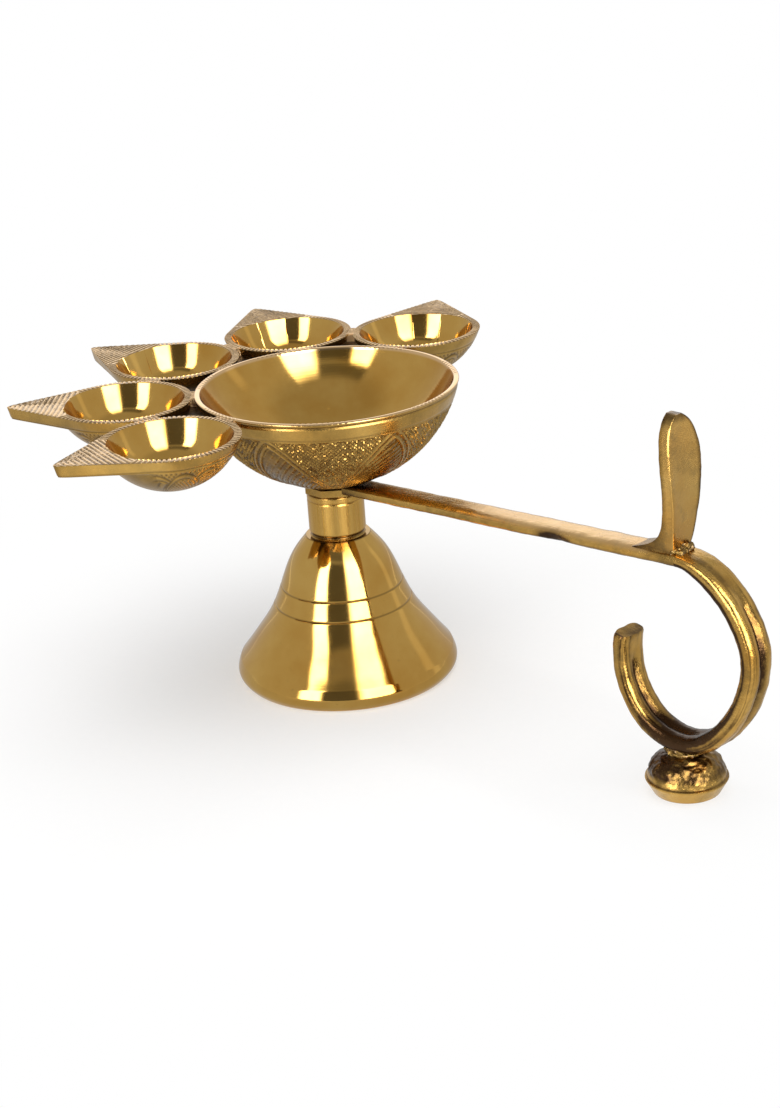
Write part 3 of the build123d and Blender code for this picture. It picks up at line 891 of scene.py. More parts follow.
# One cup: the hollow, the hatched rim and the engraved outside, row by row
def cup_mesh():
    turn = np.arange(CUP_COLUMNS) / CUP_COLUMNS
    angle = (turn * TAU + math.pi) % TAU - math.pi
    inner_radius = CUP_RADIUS - CUP_RIM
    inner_edge = leaf_outline(angle, inner_radius, HOLLOW_REACH)
    outer_edge = leaf_outline(angle, CUP_RADIUS, CUP_REACH)
    rows = []
    marks = {"patina_and_shade": [], "outside": [], "pale": []}

    def add_row(radius, height, patina_and_shade=0.0, outside=0.0, pale=0.0):
        rows.append(ring_row(radius, angle, height))
        for mark, value in zip(marks, (patina_and_shade, outside, pale)):
            marks[mark].append(np.broadcast_to(value, angle.shape))

    for radius, level in hollow_profile(inner_radius):
        share = radius / inner_radius
        add_row((inner_radius + (inner_edge - inner_radius) * share**3) * share, level)

    along_tip = outer_edge * np.cos(angle) * TIP_STRETCH
    along_edge = np.where(np.abs(angle) < TIP_SPAN, along_tip, np.abs(angle) * CUP_RADIUS)
    rim_width = outer_edge - inner_edge
    chance = np.random.default_rng(RIM_SEED)
    for share in np.linspace(0, 1, RIM_ROWS)[1:-1]:
        speckle = np.repeat(chance.random(CUP_COLUMNS // SPECKLE_SIZE), SPECKLE_SIZE)
        radius = inner_edge + rim_width * share
        inside_edge = np.minimum(1, np.minimum(share, 1 - share) * rim_width / RIM_EDGE_WIDTH)
        at_tip = rim_width > CUP_RIM * HATCH_TURN
        cut = np.where(at_tip, notches(radius * np.cos(angle)), notches(along_edge))
        darkening = np.clip(0.75 * cut + 0.65 * speckle - 0.2, 0, 0.9)
        crown = RIM_CROWN * 4 * share * (1 - share) + RIM_EDGE_DROP * (inside_edge - 1)
        add_row(radius, crown - NOTCH_DEPTH * cut, darkening, 0.6, 0.65)

    outer_sphere = (CUP_RADIUS**2 + CUP_DEPTH**2) / (2 * CUP_DEPTH)
    center = outer_sphere - CUP_DEPTH
    wall_rows, under_rows, round_rows = CUP_SIDE_ROWS
    wall = np.linspace(-RIM_EDGE_FALL, -TIP_THICKNESS, wall_rows)
    under = np.linspace(-TIP_THICKNESS, -TIP_THICKNESS - TIP_UNDERSIDE, under_rows)[1:]
    start = math.acos((center + TIP_THICKNESS + TIP_UNDERSIDE) / outer_sphere)
    round_part = center - outer_sphere * np.cos(np.linspace(start, 0, round_rows))[1:]
    heights = np.concatenate((wall, under, round_part))
    radii = np.sqrt(np.maximum(outer_sphere**2 - (center - heights) ** 2, 0.0))
    side_share = smooth_step(*CUP_SIDE_START, np.abs(angle))
    for radius, height, travel in zip(radii, heights, path_lengths(np.stack((radii, heights), axis=1))):
        reach = CUP_REACH - TIP_UNDERCUT * np.clip(-height / TIP_THICKNESS, 0, 1)
        past = smooth_step(0, 1, (-height - TIP_THICKNESS) / TIP_UNDERSIDE)
        reach = reach + (radius - reach) * past
        pattern = cup_engraving(turn, travel) * (1 - smooth_step(*CUP_ENGRAVING_END, travel))
        border = 0.7 * ridge(travel - CUP_BORDER_DROP, CUP_BORDER_WIDTH)
        pattern = np.maximum(pattern * side_share, border)
        side = leaf_outline(angle, radius, reach) if radius > TINY else np.zeros(CUP_COLUMNS)
        shrunk = np.maximum(side - CUP_ENGRAVING_DEPTH * pattern, 0.0)
        # The engraving holds patina; the underside of the tip is painted shade
        add_row(shrunk, height, 0.85 * pattern + 0.25 * past * (np.abs(angle) < TIP_SHADE_SPAN), 1.0)
    return np.array(rows), {mark: np.array(values) for mark, values in marks.items()}


def cup_places():
    fan_radius = bowl_radius + BOWL_GAP + CUP_RADIUS
    step = 2 * math.degrees(math.asin((CUP_RADIUS + CUP_GAP / 2) / fan_radius))
    places = []
    for index in range(CUP_COUNT):
        offset = (CUP_COUNT - 1) / 2 - index
        direction = math.radians(FAN_DIRECTION + offset * step)
        heading = math.radians(FAN_DIRECTION + offset * HEADING_STEP)
        places.append((fan_radius * math.cos(direction), fan_radius * math.sin(direction), heading))
    return places


def make_cups():
    rows, marks = cup_mesh()
    faces = grid_faces(*rows.shape[:2])
    for number, (x, y, heading) in enumerate(cup_places(), start=1):
        home = ("head", "engraved_brass", f"wick_cup_{number}")
        make_piece(f"cup_{number}", home, placed(rows, x, y, heading), faces, engraved, marks)


# Filler where two rims meet
def web_rows(x, y, angle, gap, first_radius, second_radius):
    along = np.linspace(-WEB_LENGTH / 2, WEB_LENGTH / 2, WEB_COLUMNS)
    first_side = -gap / 2 - (first_radius - np.sqrt(first_radius**2 - along**2)) - WEB_BITE
    second_side = gap / 2 + (second_radius - np.sqrt(second_radius**2 - along**2)) + WEB_BITE
    cut = notches(along)
    top = WEB_RISE - NOTCH_DEPTH * cut
    section = [(share, top + WEB_CROWN * math.sin(math.pi * share)) for share in WEB_TOP]
    section += [(share, np.full(WEB_COLUMNS, -WEB_HEIGHT * drop)) for share, drop in WEB_UNDERSIDE]
    rows = []
    for share, height in section:
        rows.append(np.stack((first_side + (second_side - first_side) * share, along, height), axis=1))
    patina_and_shade = np.broadcast_to(0.45 * cut, (len(rows), WEB_COLUMNS))
    return placed(np.array(rows), x, y, angle), patina_and_shade


# Dark plate at the bottom of the gap between the bowl and two cups: painted shade in the gap
def gap_shade_plate(first, second):
    circles = ((0.0, 0.0, bowl_radius), (*second[:2], CUP_RADIUS), (*first[:2], CUP_RADIUS))
    rows = []
    for drop, bite in PLATE_LEVELS:
        outline = []
        for index, (x, y, radius) in enumerate(circles):
            before, after = circles[index - 1], circles[(index + 1) % 3]
            start = math.atan2(before[1] - y, before[0] - x)
            turn = (math.atan2(after[1] - y, after[0] - x) - start + math.pi) % TAU - math.pi
            reach = radius - bite
            for angle in start + turn * np.linspace(0, 1, PLATE_ARC_POINTS):
                outline.append((x + reach * math.cos(angle), y + reach * math.sin(angle), rim_z - drop))
        rows.append(outline)
    return np.array(rows)


def make_webs():
    places = cup_places()
    strips = []
    for x, y, heading in places:
        direction = math.atan2(y, x)
        share = (bowl_radius + BOWL_GAP / 2) / math.hypot(x, y)
        strips.append(web_rows(x * share, y * share, direction, BOWL_GAP, bowl_radius, CUP_RADIUS))
    for first, second in zip(places, places[1:]):
        x, y = (first[0] + second[0]) / 2, (first[1] + second[1]) / 2
        direction = math.atan2(second[1] - first[1], second[0] - first[0])
        strips.append(web_rows(x, y, direction, CUP_GAP, CUP_RADIUS, CUP_RADIUS))
    vertices = []
    faces = []
    patina_and_shade = []
    pale = []

    def add_part(rows, part_faces, part_recess, part_pale):
        base = sum(len(part) for part in vertices)
        faces.extend([base + corner for corner in face] for face in part_faces)
        vertices.append(rows.reshape(-1, 3))
        patina_and_shade.append(np.broadcast_to(part_recess, rows.shape[:2]).ravel())
        pale.append(np.full(len(vertices[-1]), part_pale))

    for strip, strip_recess in strips:
        rows, columns = strip.shape[:2]
        quads = grid_faces(rows, columns, True).reshape(rows, columns, 4)[:, :-1].reshape(-1, 4).tolist()
        near_end = [row * columns for row in range(rows)]
        far_end = [corner + columns - 1 for corner in near_end[::-1]]
        add_part(strip, [*quads, near_end, far_end], strip_recess, 0.8)
    # Dark plates in the gaps: painted shade
    for first, second in zip(places, places[1:]):
        plate = gap_shade_plate(first, second)
        add_part(plate, capped(*plate.shape[:2]), 0.9, 0.0)
    marks = {"patina_and_shade": np.concatenate(patina_and_shade), "pale": np.concatenate(pale)}
    home = ("head", "filler_metal", "rim_webs")
    make_piece("rim_filler_and_shade_plates", home, np.concatenate(vertices), faces, filler, marks)


# Swept strips of the handle
def strip_section(width, thickness, squareness, count):
    angles = full_turn(count)
    across = np.sign(np.cos(angles)) * np.abs(np.cos(angles)) ** (2 / squareness) * width / 2
    through = np.sign(np.sin(angles)) * np.abs(np.sin(angles)) ** (2 / squareness) * thickness / 2
    return across, through


def arm_under(x):
    return neck_high[2] + x * math.tan(ARM_SLOPE)


def make_arm():
    across, through = strip_section(ARM_WIDTH, ARM_THICKNESS, ARM_SQUARENESS, ARM_COLUMNS)
    flat = np.zeros(ARM_COLUMNS)
    normal = unit_rows(np.stack((flat, across / ARM_WIDTH, through / ARM_THICKNESS), axis=1))
    rows = []
    for x in np.linspace(ARM_START, ARM_REACH, ARM_ROWS):
        middle = arm_under(x) + ARM_THICKNESS / 2
        swell = 1 + sum(depth * math.sin(x / length + phase) for depth, length, phase in ARM_WAVES)
        rows.append(np.stack((flat + x, across * swell, middle + through), axis=1))
    rows = roughen(np.array(rows), np.repeat(normal[None], ARM_ROWS, axis=0), *ARM_GRAIN)
    flaw_along = (rows[..., 0] - FLAW_PLACE) * FLAW_STRETCH[0]
    flaw_up = (rows[..., 2] - arm_under(FLAW_PLACE) - FLAW_RISE) * FLAW_STRETCH[1]
    flaw = ridge(np.hypot(flaw_along, flaw_up), FLAW_SIZE) * (rows[..., 1] < 0)
    # Painted shade on the arm by the eye under the bowl and along the low edge of the side; darker near
    # the hood; the flaw is a dark pit
    eye_shade = 1 - smooth_step(ARM_START, ARM_START + EYE_SHADE_LENGTH, rows[..., 0])
    near_hood = smooth_step(*(ARM_REACH - length for length in HOOD_DARKENING_LENGTHS), rows[..., 0])
    low_edge_shade = ridge(np.arange(ARM_COLUMNS) - LOW_SHADE_PLACE * ARM_COLUMNS, LOW_SHADE_WIDTH)
    patina_and_shade = np.clip(0.8 * eye_shade + 0.95 * low_edge_shade + 0.3 * near_hood, 0, 1)
    patina_and_shade = np.maximum(patina_and_shade, np.clip(3.5 * flaw, 0, DEEPEST_DARKENING))
    # Painted highlight: the top face is paler along the outer part of the arm
    top = smooth_step(0.1, 0.9, normal[:, 2])
    pale = 0.55 * top * smooth_step(*ARM_HIGHLIGHT_START, rows[..., 0]) * (1 - near_hood)
    rows[..., 1] += FLAW_DEPTH * flaw
    marks = {"patina_and_shade": patina_and_shade, "pale": pale}
    faces = capped(*rows.shape[:2])
    make_piece("arm", ("handle", "cast_brass", "handle_arm"), rows, faces, cast, marks)


def make_eye_plate():
    angle = full_turn(EYE_COLUMNS)
    side = flat_sided(angle, EYE_SIDES, EYE_APOTHEM)
    hole = np.full(EYE_COLUMNS, STUD_HOLE)
    low, high = neck_high[2], eye_top
    # The flat faces are painted shade in the crevices under the bowl and over the neck; the sides are a
    # little darker
    levels = (
        (hole, low, EYE_FACE_SHADE), (side - EYE_EDGE_WIDTH, low, EYE_SIDE_STAIN),
        (side, low + EYE_EDGE, EYE_SIDE_STAIN), (side, high - EYE_EDGE, EYE_SIDE_STAIN),
        (side - EYE_EDGE_WIDTH, high, EYE_FACE_SHADE), (hole, high, EYE_FACE_SHADE),
    )
    rows = np.array([ring_row(radius, angle, level) for radius, level, darkening in levels])
    patina_and_shade = np.array([np.full(EYE_COLUMNS, darkening) for radius, level, darkening in levels])
    faces = grid_faces(len(rows), EYE_COLUMNS, True)
    make_piece("eye_plate", ("handle", "cast_brass"), rows, faces, cast, {"patina_and_shade": patina_and_shade})


# Loop: a chain of bends, each a radius and an angle
def loop_path():
    x, z = ARM_REACH, arm_under(ARM_REACH) + ARM_THICKNESS / 2
    turned = 0.0
    places = [(x, z, 0.0)]
    for radius, degrees in LOOP_BENDS:
        turn = math.radians(degrees)
        middle = (x - radius * math.sin(turned), z - radius * math.cos(turned))
        steps = max(2, round(radius * turn / LOOP_STEP))
        for share in np.arange(1, steps + 1) / steps:
            angle = turned + turn * share
            x, z = middle[0] + radius * math.sin(angle), middle[1] + radius * math.cos(angle)
            places.append((x, z, angle))
        turned += turn
    return np.array(places)


def make_loop():
    places = loop_path()
    travel = path_lengths(places[:, :2])
    total = travel[-1]
    across, through = strip_section(LOOP_WIDTH, 1.0, LOOP_SQUARENESS, LOOP_COLUMNS)
    upper = through > 0
    tilt = np.sign(through)
    groove = ridge(across, GROOVE_WIDTH)
    seam = ridge(np.abs(across) - LOOP_WIDTH / 2, SEAM_WIDTH) * np.where(upper, 0.3, 0.65)
    rows = []
    normals = []
    patina_and_shade = []
    for (x, z, angle), distance in zip(places, travel):
        share = distance / total
        left = total - distance
        blend = smooth_step(0, LOOP_BLEND, distance)
        thickness = ARM_THICKNESS + (LOOP_THICKNESS - ARM_THICKNESS) * blend
        thickness += LOOP_SWELL * ridge(distance - LOOP_SWELL_PLACE * total, LOOP_SWELL_LENGTH)
        thickness -= LOOP_TAPER * smooth_step(LOOP_TAPER_START, 1.0, share)
        outer_end = 0.2 + 0.8 * smooth_step(*OUTER_GROOVE_END, left)
        outer_cut = smooth_step(*OUTER_GROOVE_START, distance) * outer_end
        inner_cut = smooth_step(*INNER_GROOVE_START, share) * smooth_step(*INNER_GROOVE_END, left)
        lift = through * thickness - np.where(upper, outer_cut, -inner_cut) * GROOVE_DEPTH * groove
        end = 1 - LOOP_END_ROUND * (1 - smooth_step(0.0, LOOP_END_LENGTH, left))
        out_x, out_z = math.sin(angle), math.cos(angle)
        rows.append(np.stack((x + out_x * lift * end, across * end, z + out_z * lift * end), axis=1))
        normals.append(np.stack((out_x * tilt, across / ARM_WIDTH, out_z * tilt), axis=1))
        cut = np.where(upper, outer_cut, inner_cut) * groove
        # Painted shade on the inner side of the loop, near its start and around its middle; the grooves
        # hold patina
        inner_shade = ridge(distance - INSIDE_SHADE_PLACE * total, INSIDE_SHADE_LENGTH)
        inner_shade += ridge(distance - TOP_SHADE_PLACE, TOP_SHADE_LENGTH)
        tip = 0.5 * (1 - smooth_step(0.0, 2 * LOOP_END_LENGTH, left))
        along = distance / STREAK_LENGTH
        spots = [Vector((side / 2, along, STREAK_SEED)) for side in range(LOOP_COLUMNS)]
        streak = np.clip(1.6 * np.array([noise.noise(spot) for spot in spots]), 0, 0.6)
        darkening = 0.95 * cut + np.where(upper, 0.0, 1.3 * inner_shade) + seam + tip + streak
        patina_and_shade.append(np.clip(darkening, 0, DEEPEST_DARKENING))
    rows = roughen(np.array(rows), unit_rows(np.array(normals)), *LOOP_GRAIN)
    # Painted shade where the loop comes down to the foot
    foot_spot = np.hypot(rows[..., 0] - foot_middle, rows[..., 2] - foot_high[2])
    patina_and_shade = np.clip(np.array(patina_and_shade) + 1.6 * ridge(foot_spot, FOOT_SHADE_SIZE), 0, DEEPEST_DARKENING)
    faces = capped(*rows.shape[:2])
    make_piece("loop", ("handle", "cast_brass", "finger_loop"), rows, faces, cast, {"patina_and_shade": patina_and_shade})


# Thumb rest
def make_hood():
    base = arm_under(ARM_REACH - HOOD_SETBACK) + ARM_THICKNESS
    half_width = natural_spline([(height, width) for width, height in HOOD_SHAPE], HOOD_SAMPLES)
    length = HOOD_HEIGHT + HOOD_EMBED
    bulge = HOOD_BOW_HEIGHT * HOOD_HEIGHT + HOOD_EMBED
    curve = (HOOD_BOW - HOOD_TOP_SHIFT * bulge / length) / (bulge * (length - bulge))
    rows = []
    normals = []
    patina_and_shade = []
    pale = []
    root = np.linspace(-HOOD_ROOT, 0, HOOD_ROOT_ROWS)[:-1]
    for height in np.concatenate((root, np.linspace(0, HOOD_HEIGHT, HOOD_ROWS))):
        share = max(height / HOOD_HEIGHT, 0.0)
        width = 2 * HOOD_WIDTH * np.interp(share, half_width[:, 0], half_width[:, 1])
        thickness = HOOD_THICKNESS * (1 - HOOD_THINNING * share**3)
        across, through = strip_section(width, thickness, HOOD_SQUARENESS, HOOD_COLUMNS)
        across_share = across / width
        along = height + HOOD_EMBED
        bow = HOOD_TOP_SHIFT * along / length + curve * along * (length - along)
        hollow = HOOD_HOLLOW * math.sin(math.pi * min(share, 1.0)) * (1 - (2 * across_share) ** 2)
        flare = HOOD_FLARE * math.exp(-max(height + HOOD_FLARE_DROP, 0) / HOOD_FLARE_HEIGHT)
        x = ARM_REACH - HOOD_SETBACK + bow + through - np.where(through > 0, hollow, flare)
        rows.append(np.stack((x, across, np.full(HOOD_COLUMNS, base + height)), axis=1))
        normals.append(np.stack((through / thickness, across_share, np.zeros(HOOD_COLUMNS)), axis=1))
        # Painted shade along the back edge and the front edge, darker at the root and the top; the front
        # face gets a faint painted highlight
        back_shade = smooth_step(*HOOD_BACK_SHADE, across_share)
        front_shade = ridge(across_share + 0.5, HOOD_FRONT_SHADE) * (through < 0)
        root_darkening = 0.6 * math.exp(-max(height, 0) / HOOD_ROOT_DARKENING)
        top_darkening = 0.75 * smooth_step(*HOOD_TOP_DARKENING, share)
        patina_and_shade.append(np.clip(0.95 * back_shade + 0.5 * front_shade + root_darkening + top_darkening, 0, 1))
        pale.append(0.08 * (through > 0) * (1 - back_shade))
    rows = roughen(np.array(rows), unit_rows(np.array(normals)), *HOOD_GRAIN)
    marks = {"patina_and_shade": np.array(patina_and_shade), "pale": np.array(pale)}
    faces = capped(*rows.shape[:2])
    make_piece("hood", ("handle", "cast_brass", "cobra_hood"), rows, faces, cast, marks)


# Lumps of brazing filler
def make_lump(name, middle, size, seed, node):
    polar = np.linspace(0, math.pi, LUMP_ROWS)
    unit = revolve(np.stack((np.sin(polar), np.cos(polar)), axis=1), LUMP_COLUMNS)
    vertices = np.array(middle) + unit * np.array(size)
    vertices = roughen(vertices, unit, *LUMP_GRAIN, seed)
    vertices = roughen(vertices, unit, *LUMP_FINE_GRAIN, seed + LUMP_FINE_SEED)
    marks = {"patina_and_shade": 0.35 * ridge(unit[..., 2] + 1, 0.7)}
    faces = grid_faces(LUMP_ROWS, LUMP_COLUMNS)
    make_piece(name, ("handle", "filler_metal", node), vertices, faces, filler, marks)


# Foot
def make_foot():
    radius = (foot_high[0] - foot_low[0]) / 2
    top = foot_high[2]
    start = (radius - FOOT_STEP, FOOT_BAND)
    bend = (FOOT_TOP_RADIUS + FOOT_SWELL * (start[0] - FOOT_TOP_RADIUS), (FOOT_BAND + top) / 2)
    dome = natural_spline([start, bend, (FOOT_TOP_RADIUS, top)], FOOT_DOME_ROWS)
    profile = [(0.0, 0.0), (FOOT_BOTTOM_RADIUS / 2, 0.0), (FOOT_BOTTOM_RADIUS - FOOT_EDGE / 2, 0.0)]
    band_ends = ((FOOT_BOTTOM_RADIUS, FOOT_EDGE / 4), (radius, FOOT_BAND - FOOT_EDGE))
    profile += np.linspace(*band_ends, FOOT_BAND_ROWS).tolist()
    profile += [(radius - inset, FOOT_BAND - drop) for inset, drop in FOOT_SHOULDER]
    profile += dome.tolist() + [(0.0, top)]
    vertices = revolve(profile, FOOT_COLUMNS, (foot_middle, 0.0))
    outward = unit_rows(vertices - np.array((foot_middle, 0.0, FOOT_BAND)))
    rough = roughen(vertices, outward, *FOOT_GRAIN)
    share = smooth_step(*FOOT_ROUGH_START, vertices[..., 2] - FOOT_BAND)[..., None]
    vertices = vertices + (rough - vertices) * share
    height = vertices[..., 2]
    # The dome is darker all round, and painted shade darkens it further on one side; the seam above the
    # band is a dark joint
    shaded_side = 0.5 + 0.5 * np.cos(full_turn(FOOT_COLUMNS) - FOOT_SHADED_SIDE)
    patina_and_shade = smooth_step(FOOT_BAND, FOOT_BAND + FOOT_DARK_RISE, height) * (0.8 + 0.45 * shaded_side)
    patina_and_shade = np.clip(patina_and_shade + 0.8 * ridge(height - FOOT_BAND, FOOT_SEAM_WIDTH), 0, DEEPEST_DARKENING)
    faces = grid_faces(len(profile), FOOT_COLUMNS)
    home = ("handle", "cast_brass", "handle_foot")
    make_piece("foot", home, vertices, faces, cast, {"patina_and_shade": patina_and_shade})


# Stud, washer and nut inside the bell
def make_stud():
    angle = full_turn(STUD_COLUMNS)
    heights = np.arange(stud_low[2], stud_high[2], THREAD_STEP)
    wave = np.abs((heights[:, None] / THREAD_PITCH - angle / TAU) % 1.0 * 2 - 1)
    end = np.minimum(1.0, (heights - stud_low[2]) / STUD_END)[:, None]
    radii = (stud_high[0] - THREAD_DEPTH * wave) * (STUD_END_SHARE + (1 - STUD_END_SHARE) * end)
    rows = np.array([ring_row(radius, angle, height) for radius, height in zip(radii, heights)])
    faces = capped(*rows.shape[:2])
    home = ("head", "hardware_brass", "head_stud")
    make_piece("stud", home, rows, faces, hardware, {"patina_and_shade": 0.7 * wave})


def make_washer():
    low, high, radius = washer_low[2], washer_high[2], washer_high[0]
    middle = (radius - WASHER_ROUND, low + WASHER_ROUND)
    rounding = arc_points(middle, WASHER_ROUND, -90, 0, WASHER_ARC_POINTS).tolist()
    chamfered = STUD_HOLE + WASHER_CHAMFER
    profile = [(STUD_HOLE, low + WASHER_HOLE_DROP), (chamfered, low), (radius - WASHER_FLAT_INSET, low)]
    profile += rounding + [(radius, high - WASHER_RIM_DROP), (radius - WASHER_CHAMFER, high)]
    profile += [(chamfered, high), (STUD_HOLE, high - WASHER_HOLE_DROP)]
    patina_and_shade = np.linspace(0.5, 0.1, len(profile))
    home = ("washer", "hardware_brass", "clamp_washer")
    make_turned("washer", home, profile, patina_and_shade, WASHER_COLUMNS, hardware)


def make_nut():
    low, high, apothem = nut_low[2], nut_high[2], nut_high[1]
    angle = full_turn(NUT_COLUMNS)
    corner = flat_sided(angle, NUT_SIDES, apothem)
    face = np.minimum(corner, apothem * NUT_CORNER_CUT)
    hole = np.full(NUT_COLUMNS, stud_high[0] + NUT_CLEARANCE)
    mouth = hole + NUT_CHAMFER
    low_inset, low_rise = NUT_LOW_EDGE
    high_inset, high_drop = NUT_HIGH_EDGE
    levels = (
        (hole, low + NUT_CHAMFER), (mouth, low), (face - low_inset, low), (face, low + low_rise),
        (corner, low + NUT_CORNER_DROP), (corner, high - NUT_CORNER_DROP),
        (face, high - high_drop), (face - high_inset, high), (mouth, high), (hole, high - NUT_CHAMFER),
    )
    rows = np.array([ring_row(radius, math.pi / 2 - angle, level) for radius, level in levels])
    patina_and_shade = np.zeros(rows.shape[:2])
    patina_and_shade[0] = patina_and_shade[-1] = 0.8
    faces = grid_faces(len(rows), NUT_COLUMNS, True)
    make_piece("nut", ("nut", "hardware_brass", "clamp_nut"), rows, faces, hardware, {"patina_and_shade": patina_and_shade})


make_bell()
make_neck()
make_bowl()
make_cups()
make_webs()
make_stud()
make_arm()
make_eye_plate()
make_loop()
make_hood()
hood_level = arm_under(ARM_REACH) + ARM_THICKNESS + HOOD_LUMP_RISE
hood_root = (ARM_REACH - HOOD_SETBACK + HOOD_LUMP_SHIFT, 0.0, hood_level)
make_lump("hood_bead", hood_root, HOOD_LUMP_SIZE, HOOD_LUMP_SEED, "hood_braze")
make_foot()
foot_crown = (foot_middle + FOOT_LUMP_SHIFT, 0.0, foot_high[2] + FOOT_LUMP_RISE)
make_lump("foot_bead", foot_crown, FOOT_LUMP_SIZE, FOOT_LUMP_SEED, "foot_braze")
make_washer()
make_nut()


# Studio, in metres
FLOOR_SIZE = 12.0
FLOOR_NEAR = (0.03, 0.22)
FLOOR_GLOW = 0.5
FLOOR_COLORS = ((0.93, 0.93, 0.93), (0.95, 0.95, 0.95))
SKY_FILL = 0.42
DOME_RADIUS = 1.7
DOME_ROWS = 60
DOME_ELEVATIONS = (0.2, 89.5)
STUDIO_COLUMNS = 180
WALL_TONE = 0.60
CEILING_TONE = 0.46
BACKDROP_TONE = 0.6
BACK_GLOW_TONE = 1.5
SHADE_TONE = 0.2
GAP_TONE = 0.13
BOX_TONE = 9.0
STRIP_TONE = 0.8
TABLE_ROWS = 40
TABLE_CARD_RADIUS = 0.9
TABLE_CARD_LIFT = 0.0004
TABLE_CARD_TONE = 0.56
TABLE_POOL_TONE = 0.5
TABLE_POOLS = ((-36.0, 15.0), (27.0, 17.0))
TABLE_POOL_START = (0.03, 0.12)
LAMP_SIZE = 1.2
LAMP_HEIGHT = 1.2
LAMP_RADIANCE = 2.9

# Stretches of the studio walls in degrees: start, its softness, end, its softness
LEFT_BOX_SPAN = (-53.0, 2.0, -31.0, 2.0)
RIGHT_BOX_SPAN = (11.0, 5.0, 45.0, 2.0)
GAP_SPAN = (-31.0, 3.0, 8.0, 5.0)
SHADE_SPAN = (-54.0, 5.0, 26.0, 8.0)
SHADE_HEIGHTS = (50.0, 2.0, 61.0, 4.0)
STRIP_SPAN = (96.0, 2.0, 106.0, 2.0)
BACK_GLOW_HEIGHTS = (9.0, 4.0, 31.0, 5.0)

# Angles between which a tone starts or fades out
LEFT_BOX_TOP = (46.0, 50.0)
RIGHT_BOX_TOP = (44.0, 64.0)
GAP_TOP = (44.0, 52.0)
STRIP_TOP = (30.0, 40.0)
BACKDROP_TOP = (20.0, 34.0)
BACKDROP_START = (95.0, 125.0)
BACK_GLOW_START = (138.0, 160.0)
CEILING_START = (45.0, 65.0)


def make_world():
    world = bpy.data.worlds.new("studio")
    bpy.context.scene.world = world
    world.use_nodes = True
    tree = world.node_tree
    tree.nodes.clear()
    output = tree.nodes.new("ShaderNodeOutputWorld")
    background = tree.nodes.new("ShaderNodeBackground")
    background.inputs["Color"].default_value = (1.0, 1.0, 1.0, 1.0)
    rays = tree.nodes.new("ShaderNodeLightPath")
    seen = calculate(tree, "MAXIMUM", rays.outputs["Is Camera Ray"], rays.outputs["Is Glossy Ray"])
    seen = calculate(tree, "MAXIMUM", seen, rays.outputs["Is Transmission Ray"])
    tree.links.new(spread(tree, seen, (0.0, 1.0), (SKY_FILL, 1.0)), background.inputs["Strength"])
    tree.links.new(background.outputs["Background"], output.inputs["Surface"])


def stage_piece(name, vertices, faces, material):
    mesh = bpy.data.meshes.new(name)
    mesh.from_pydata(vertices, [], faces)
    mesh.materials.append(material)
    piece = add_object(name, mesh)
    return piece


# The floor is paper that takes the shadow near the lamp and runs out to plain white
def make_floor():
    material, tree, shader = new_material("floor_paper")
    shader.inputs["Metallic"].default_value = 0.0
    shader.inputs["Roughness"].default_value = 1.0
    shader.inputs["Specular IOR Level"].default_value = 0.0
    fibre = patches(tree, 400.0, (0.3, 0.7), detail=3.0)
    tree.links.new(blend_colors(tree, fibre, *FLOOR_COLORS), shader.inputs["Base Color"])
    distance = tree.nodes.new("ShaderNodeVectorMath")
    distance.operation = "LENGTH"
    tree.links.new(object_place(tree), distance.inputs[0])
    far = spread(tree, distance.outputs["Value"], FLOOR_NEAR, (FLOOR_GLOW, 1.0))
    far.node.interpolation_type = "SMOOTHSTEP"
    white = tree.nodes.new("ShaderNodeEmission")
    mix = tree.nodes.new("ShaderNodeMixShader")
    tree.links.new(far, mix.inputs["Fac"])
    tree.links.new(shader.outputs["BSDF"], mix.inputs[1])
    tree.links.new(white.outputs["Emission"], mix.inputs[2])
    tree.links.new(mix.outputs["Shader"], tree.nodes["Material Output"].inputs["Surface"])
    half = FLOOR_SIZE / 2
    corners = [(-half, -half, 0), (half, -half, 0), (half, half, 0), (-half, half, 0)]
    stage_piece("floor", corners, [(0, 1, 2, 3)], material)


def tone_material(name):
    material, tree, output = empty_material(name)
    emission = tree.nodes.new("ShaderNodeEmission")
    tree.links.new(mark_value(tree, "tone"), emission.inputs["Strength"])
    tree.links.new(emission.outputs["Emission"], output.inputs["Surface"])
    return material


# A stretch of angles with soft ends
def window(value, low, low_soft, high, high_soft):
    rise = smooth_step(low - low_soft, low + low_soft, value)
    return rise * (1 - smooth_step(high - high_soft, high + high_soft, value))


# Studio walls that the metal reflects: grey walls, a white backdrop, two soft boxes and dark screens
def studio_tone(away, elevation):
    tone = WALL_TONE + (CEILING_TONE - WALL_TONE) * smooth_step(*CEILING_START, elevation)
    backdrop = smooth_step(*BACKDROP_START, np.abs(away)) * (1 - smooth_step(*BACKDROP_TOP, elevation))
    back_glow = smooth_step(*BACK_GLOW_START, np.abs(away)) * window(elevation, *BACK_GLOW_HEIGHTS)
    strip = window(away, *STRIP_SPAN) * (1 - smooth_step(*STRIP_TOP, elevation))
    gap = window(away, *GAP_SPAN) * (1 - smooth_step(*GAP_TOP, elevation))
    shade = window(away, *SHADE_SPAN) * window(elevation, *SHADE_HEIGHTS)
    left_box = window(away, *LEFT_BOX_SPAN) * (1 - smooth_step(*LEFT_BOX_TOP, elevation))
    right_box = window(away, *RIGHT_BOX_SPAN) * (1 - smooth_step(*RIGHT_BOX_TOP, elevation))
    walls = ((backdrop, BACKDROP_TONE), (back_glow, BACK_GLOW_TONE), (strip, STRIP_TONE))
    screens = ((gap, GAP_TONE), (shade, SHADE_TONE), (left_box, BOX_TONE), (right_box, BOX_TONE))
    for share, level in walls + screens:
        tone = tone + (level - tone) * share
    return tone


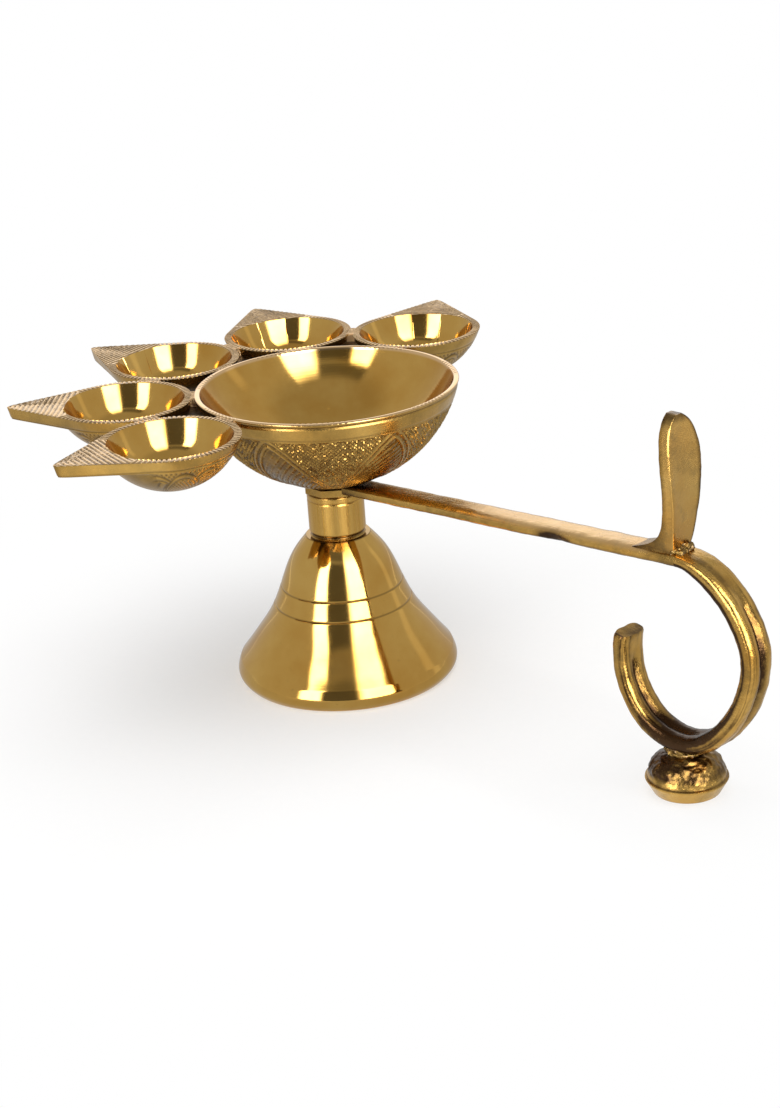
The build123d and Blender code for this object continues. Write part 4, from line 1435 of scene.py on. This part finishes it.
def make_card(name, reach, azimuth, level, tone, material):
    x = reach * np.sin(np.radians(azimuth))
    y = -reach * np.cos(np.radians(azimuth))
    vertices = np.stack((x, y, np.broadcast_to(level, x.shape)), axis=-1).reshape(-1, 3).tolist()
    card = stage_piece(name, vertices, grid_faces(*x.shape).tolist(), material)
    set_mark(card.data, "tone", tone)
    card.visible_camera = False
    card.visible_diffuse = False
    card.visible_shadow = False


def make_cards():
    material = tone_material("studio_grey")
    azimuth = (np.arange(STUDIO_COLUMNS) * 360.0 / STUDIO_COLUMNS)[None, :]
    away = (azimuth - math.degrees(CAMERA_AZIMUTH) + 180.0) % 360.0 - 180.0
    elevation = np.linspace(*DOME_ELEVATIONS, DOME_ROWS)[:, None]
    wall_reach = DOME_RADIUS * np.cos(np.radians(elevation))
    wall_level = DOME_RADIUS * np.sin(np.radians(elevation))
    make_card("studio_walls", wall_reach, azimuth, wall_level, studio_tone(away, elevation), material)
    reach = np.linspace(0.0, TABLE_CARD_RADIUS, TABLE_ROWS)[:, None]
    # Brighter pools on the table card are painted light: the soft boxes lighting the table and shining
    # back from it
    light_pools = np.maximum(*(ridge(away - middle, width) for middle, width in TABLE_POOLS))
    table_tone = TABLE_CARD_TONE + TABLE_POOL_TONE * light_pools * smooth_step(*TABLE_POOL_START, reach)
    make_card("table_card", reach, azimuth, TABLE_CARD_LIFT, table_tone, material)


# Camera, placed by its direction from the object and turned a little off the aim point
CAMERA_AIM = Vector((0.0, 0.0, 0.05))
CAMERA_AZIMUTH = math.radians(47.99)
CAMERA_ELEVATION = math.radians(20.27)
CAMERA_DISTANCE = 0.68278
CAMERA_YAW = math.radians(-1.26)
CAMERA_PITCH = math.radians(-1.10)
CAMERA_ROLL = math.radians(4.48)
SENSOR = 36.0
CLIP_START = 0.01
IMAGE_HEIGHT = 1108
FOCAL_PIXELS = 2272.08


def toward(azimuth, elevation):
    flat = math.cos(elevation)
    return Vector((math.sin(azimuth) * flat, -math.cos(azimuth) * flat, math.sin(elevation)))


def make_camera():
    data = bpy.data.cameras.new("camera")
    data.sensor_width = SENSOR
    data.lens = FOCAL_PIXELS / IMAGE_HEIGHT * SENSOR
    data.clip_start = CLIP_START
    camera = add_object("camera", data)
    back = toward(CAMERA_AZIMUTH, CAMERA_ELEVATION)
    right = Vector((0, 0, 1)).cross(back).normalized()
    up = back.cross(right)
    facing = Matrix((right, up, back)).transposed()
    facing = facing @ Matrix.Rotation(CAMERA_YAW, 3, "Y")
    facing = facing @ Matrix.Rotation(CAMERA_PITCH, 3, "X")
    facing = facing @ Matrix.Rotation(-CAMERA_ROLL, 3, "Z")
    camera.matrix_world = Matrix.Translation(CAMERA_AIM + back * CAMERA_DISTANCE) @ facing.to_4x4()
    bpy.context.scene.camera = camera


def make_lamp():
    data = bpy.data.lights.new("overhead", "AREA")
    data.shape = "SQUARE"
    data.size = LAMP_SIZE
    data.energy = LAMP_RADIANCE * math.pi * LAMP_SIZE**2
    lamp = add_object("overhead", data)
    lamp.location = (0.0, 0.0, LAMP_HEIGHT)
    lamp.visible_glossy = False


make_world()
make_floor()
make_cards()
make_camera()
make_lamp()

scene = bpy.context.scene
scene.view_settings.view_transform = "Standard"
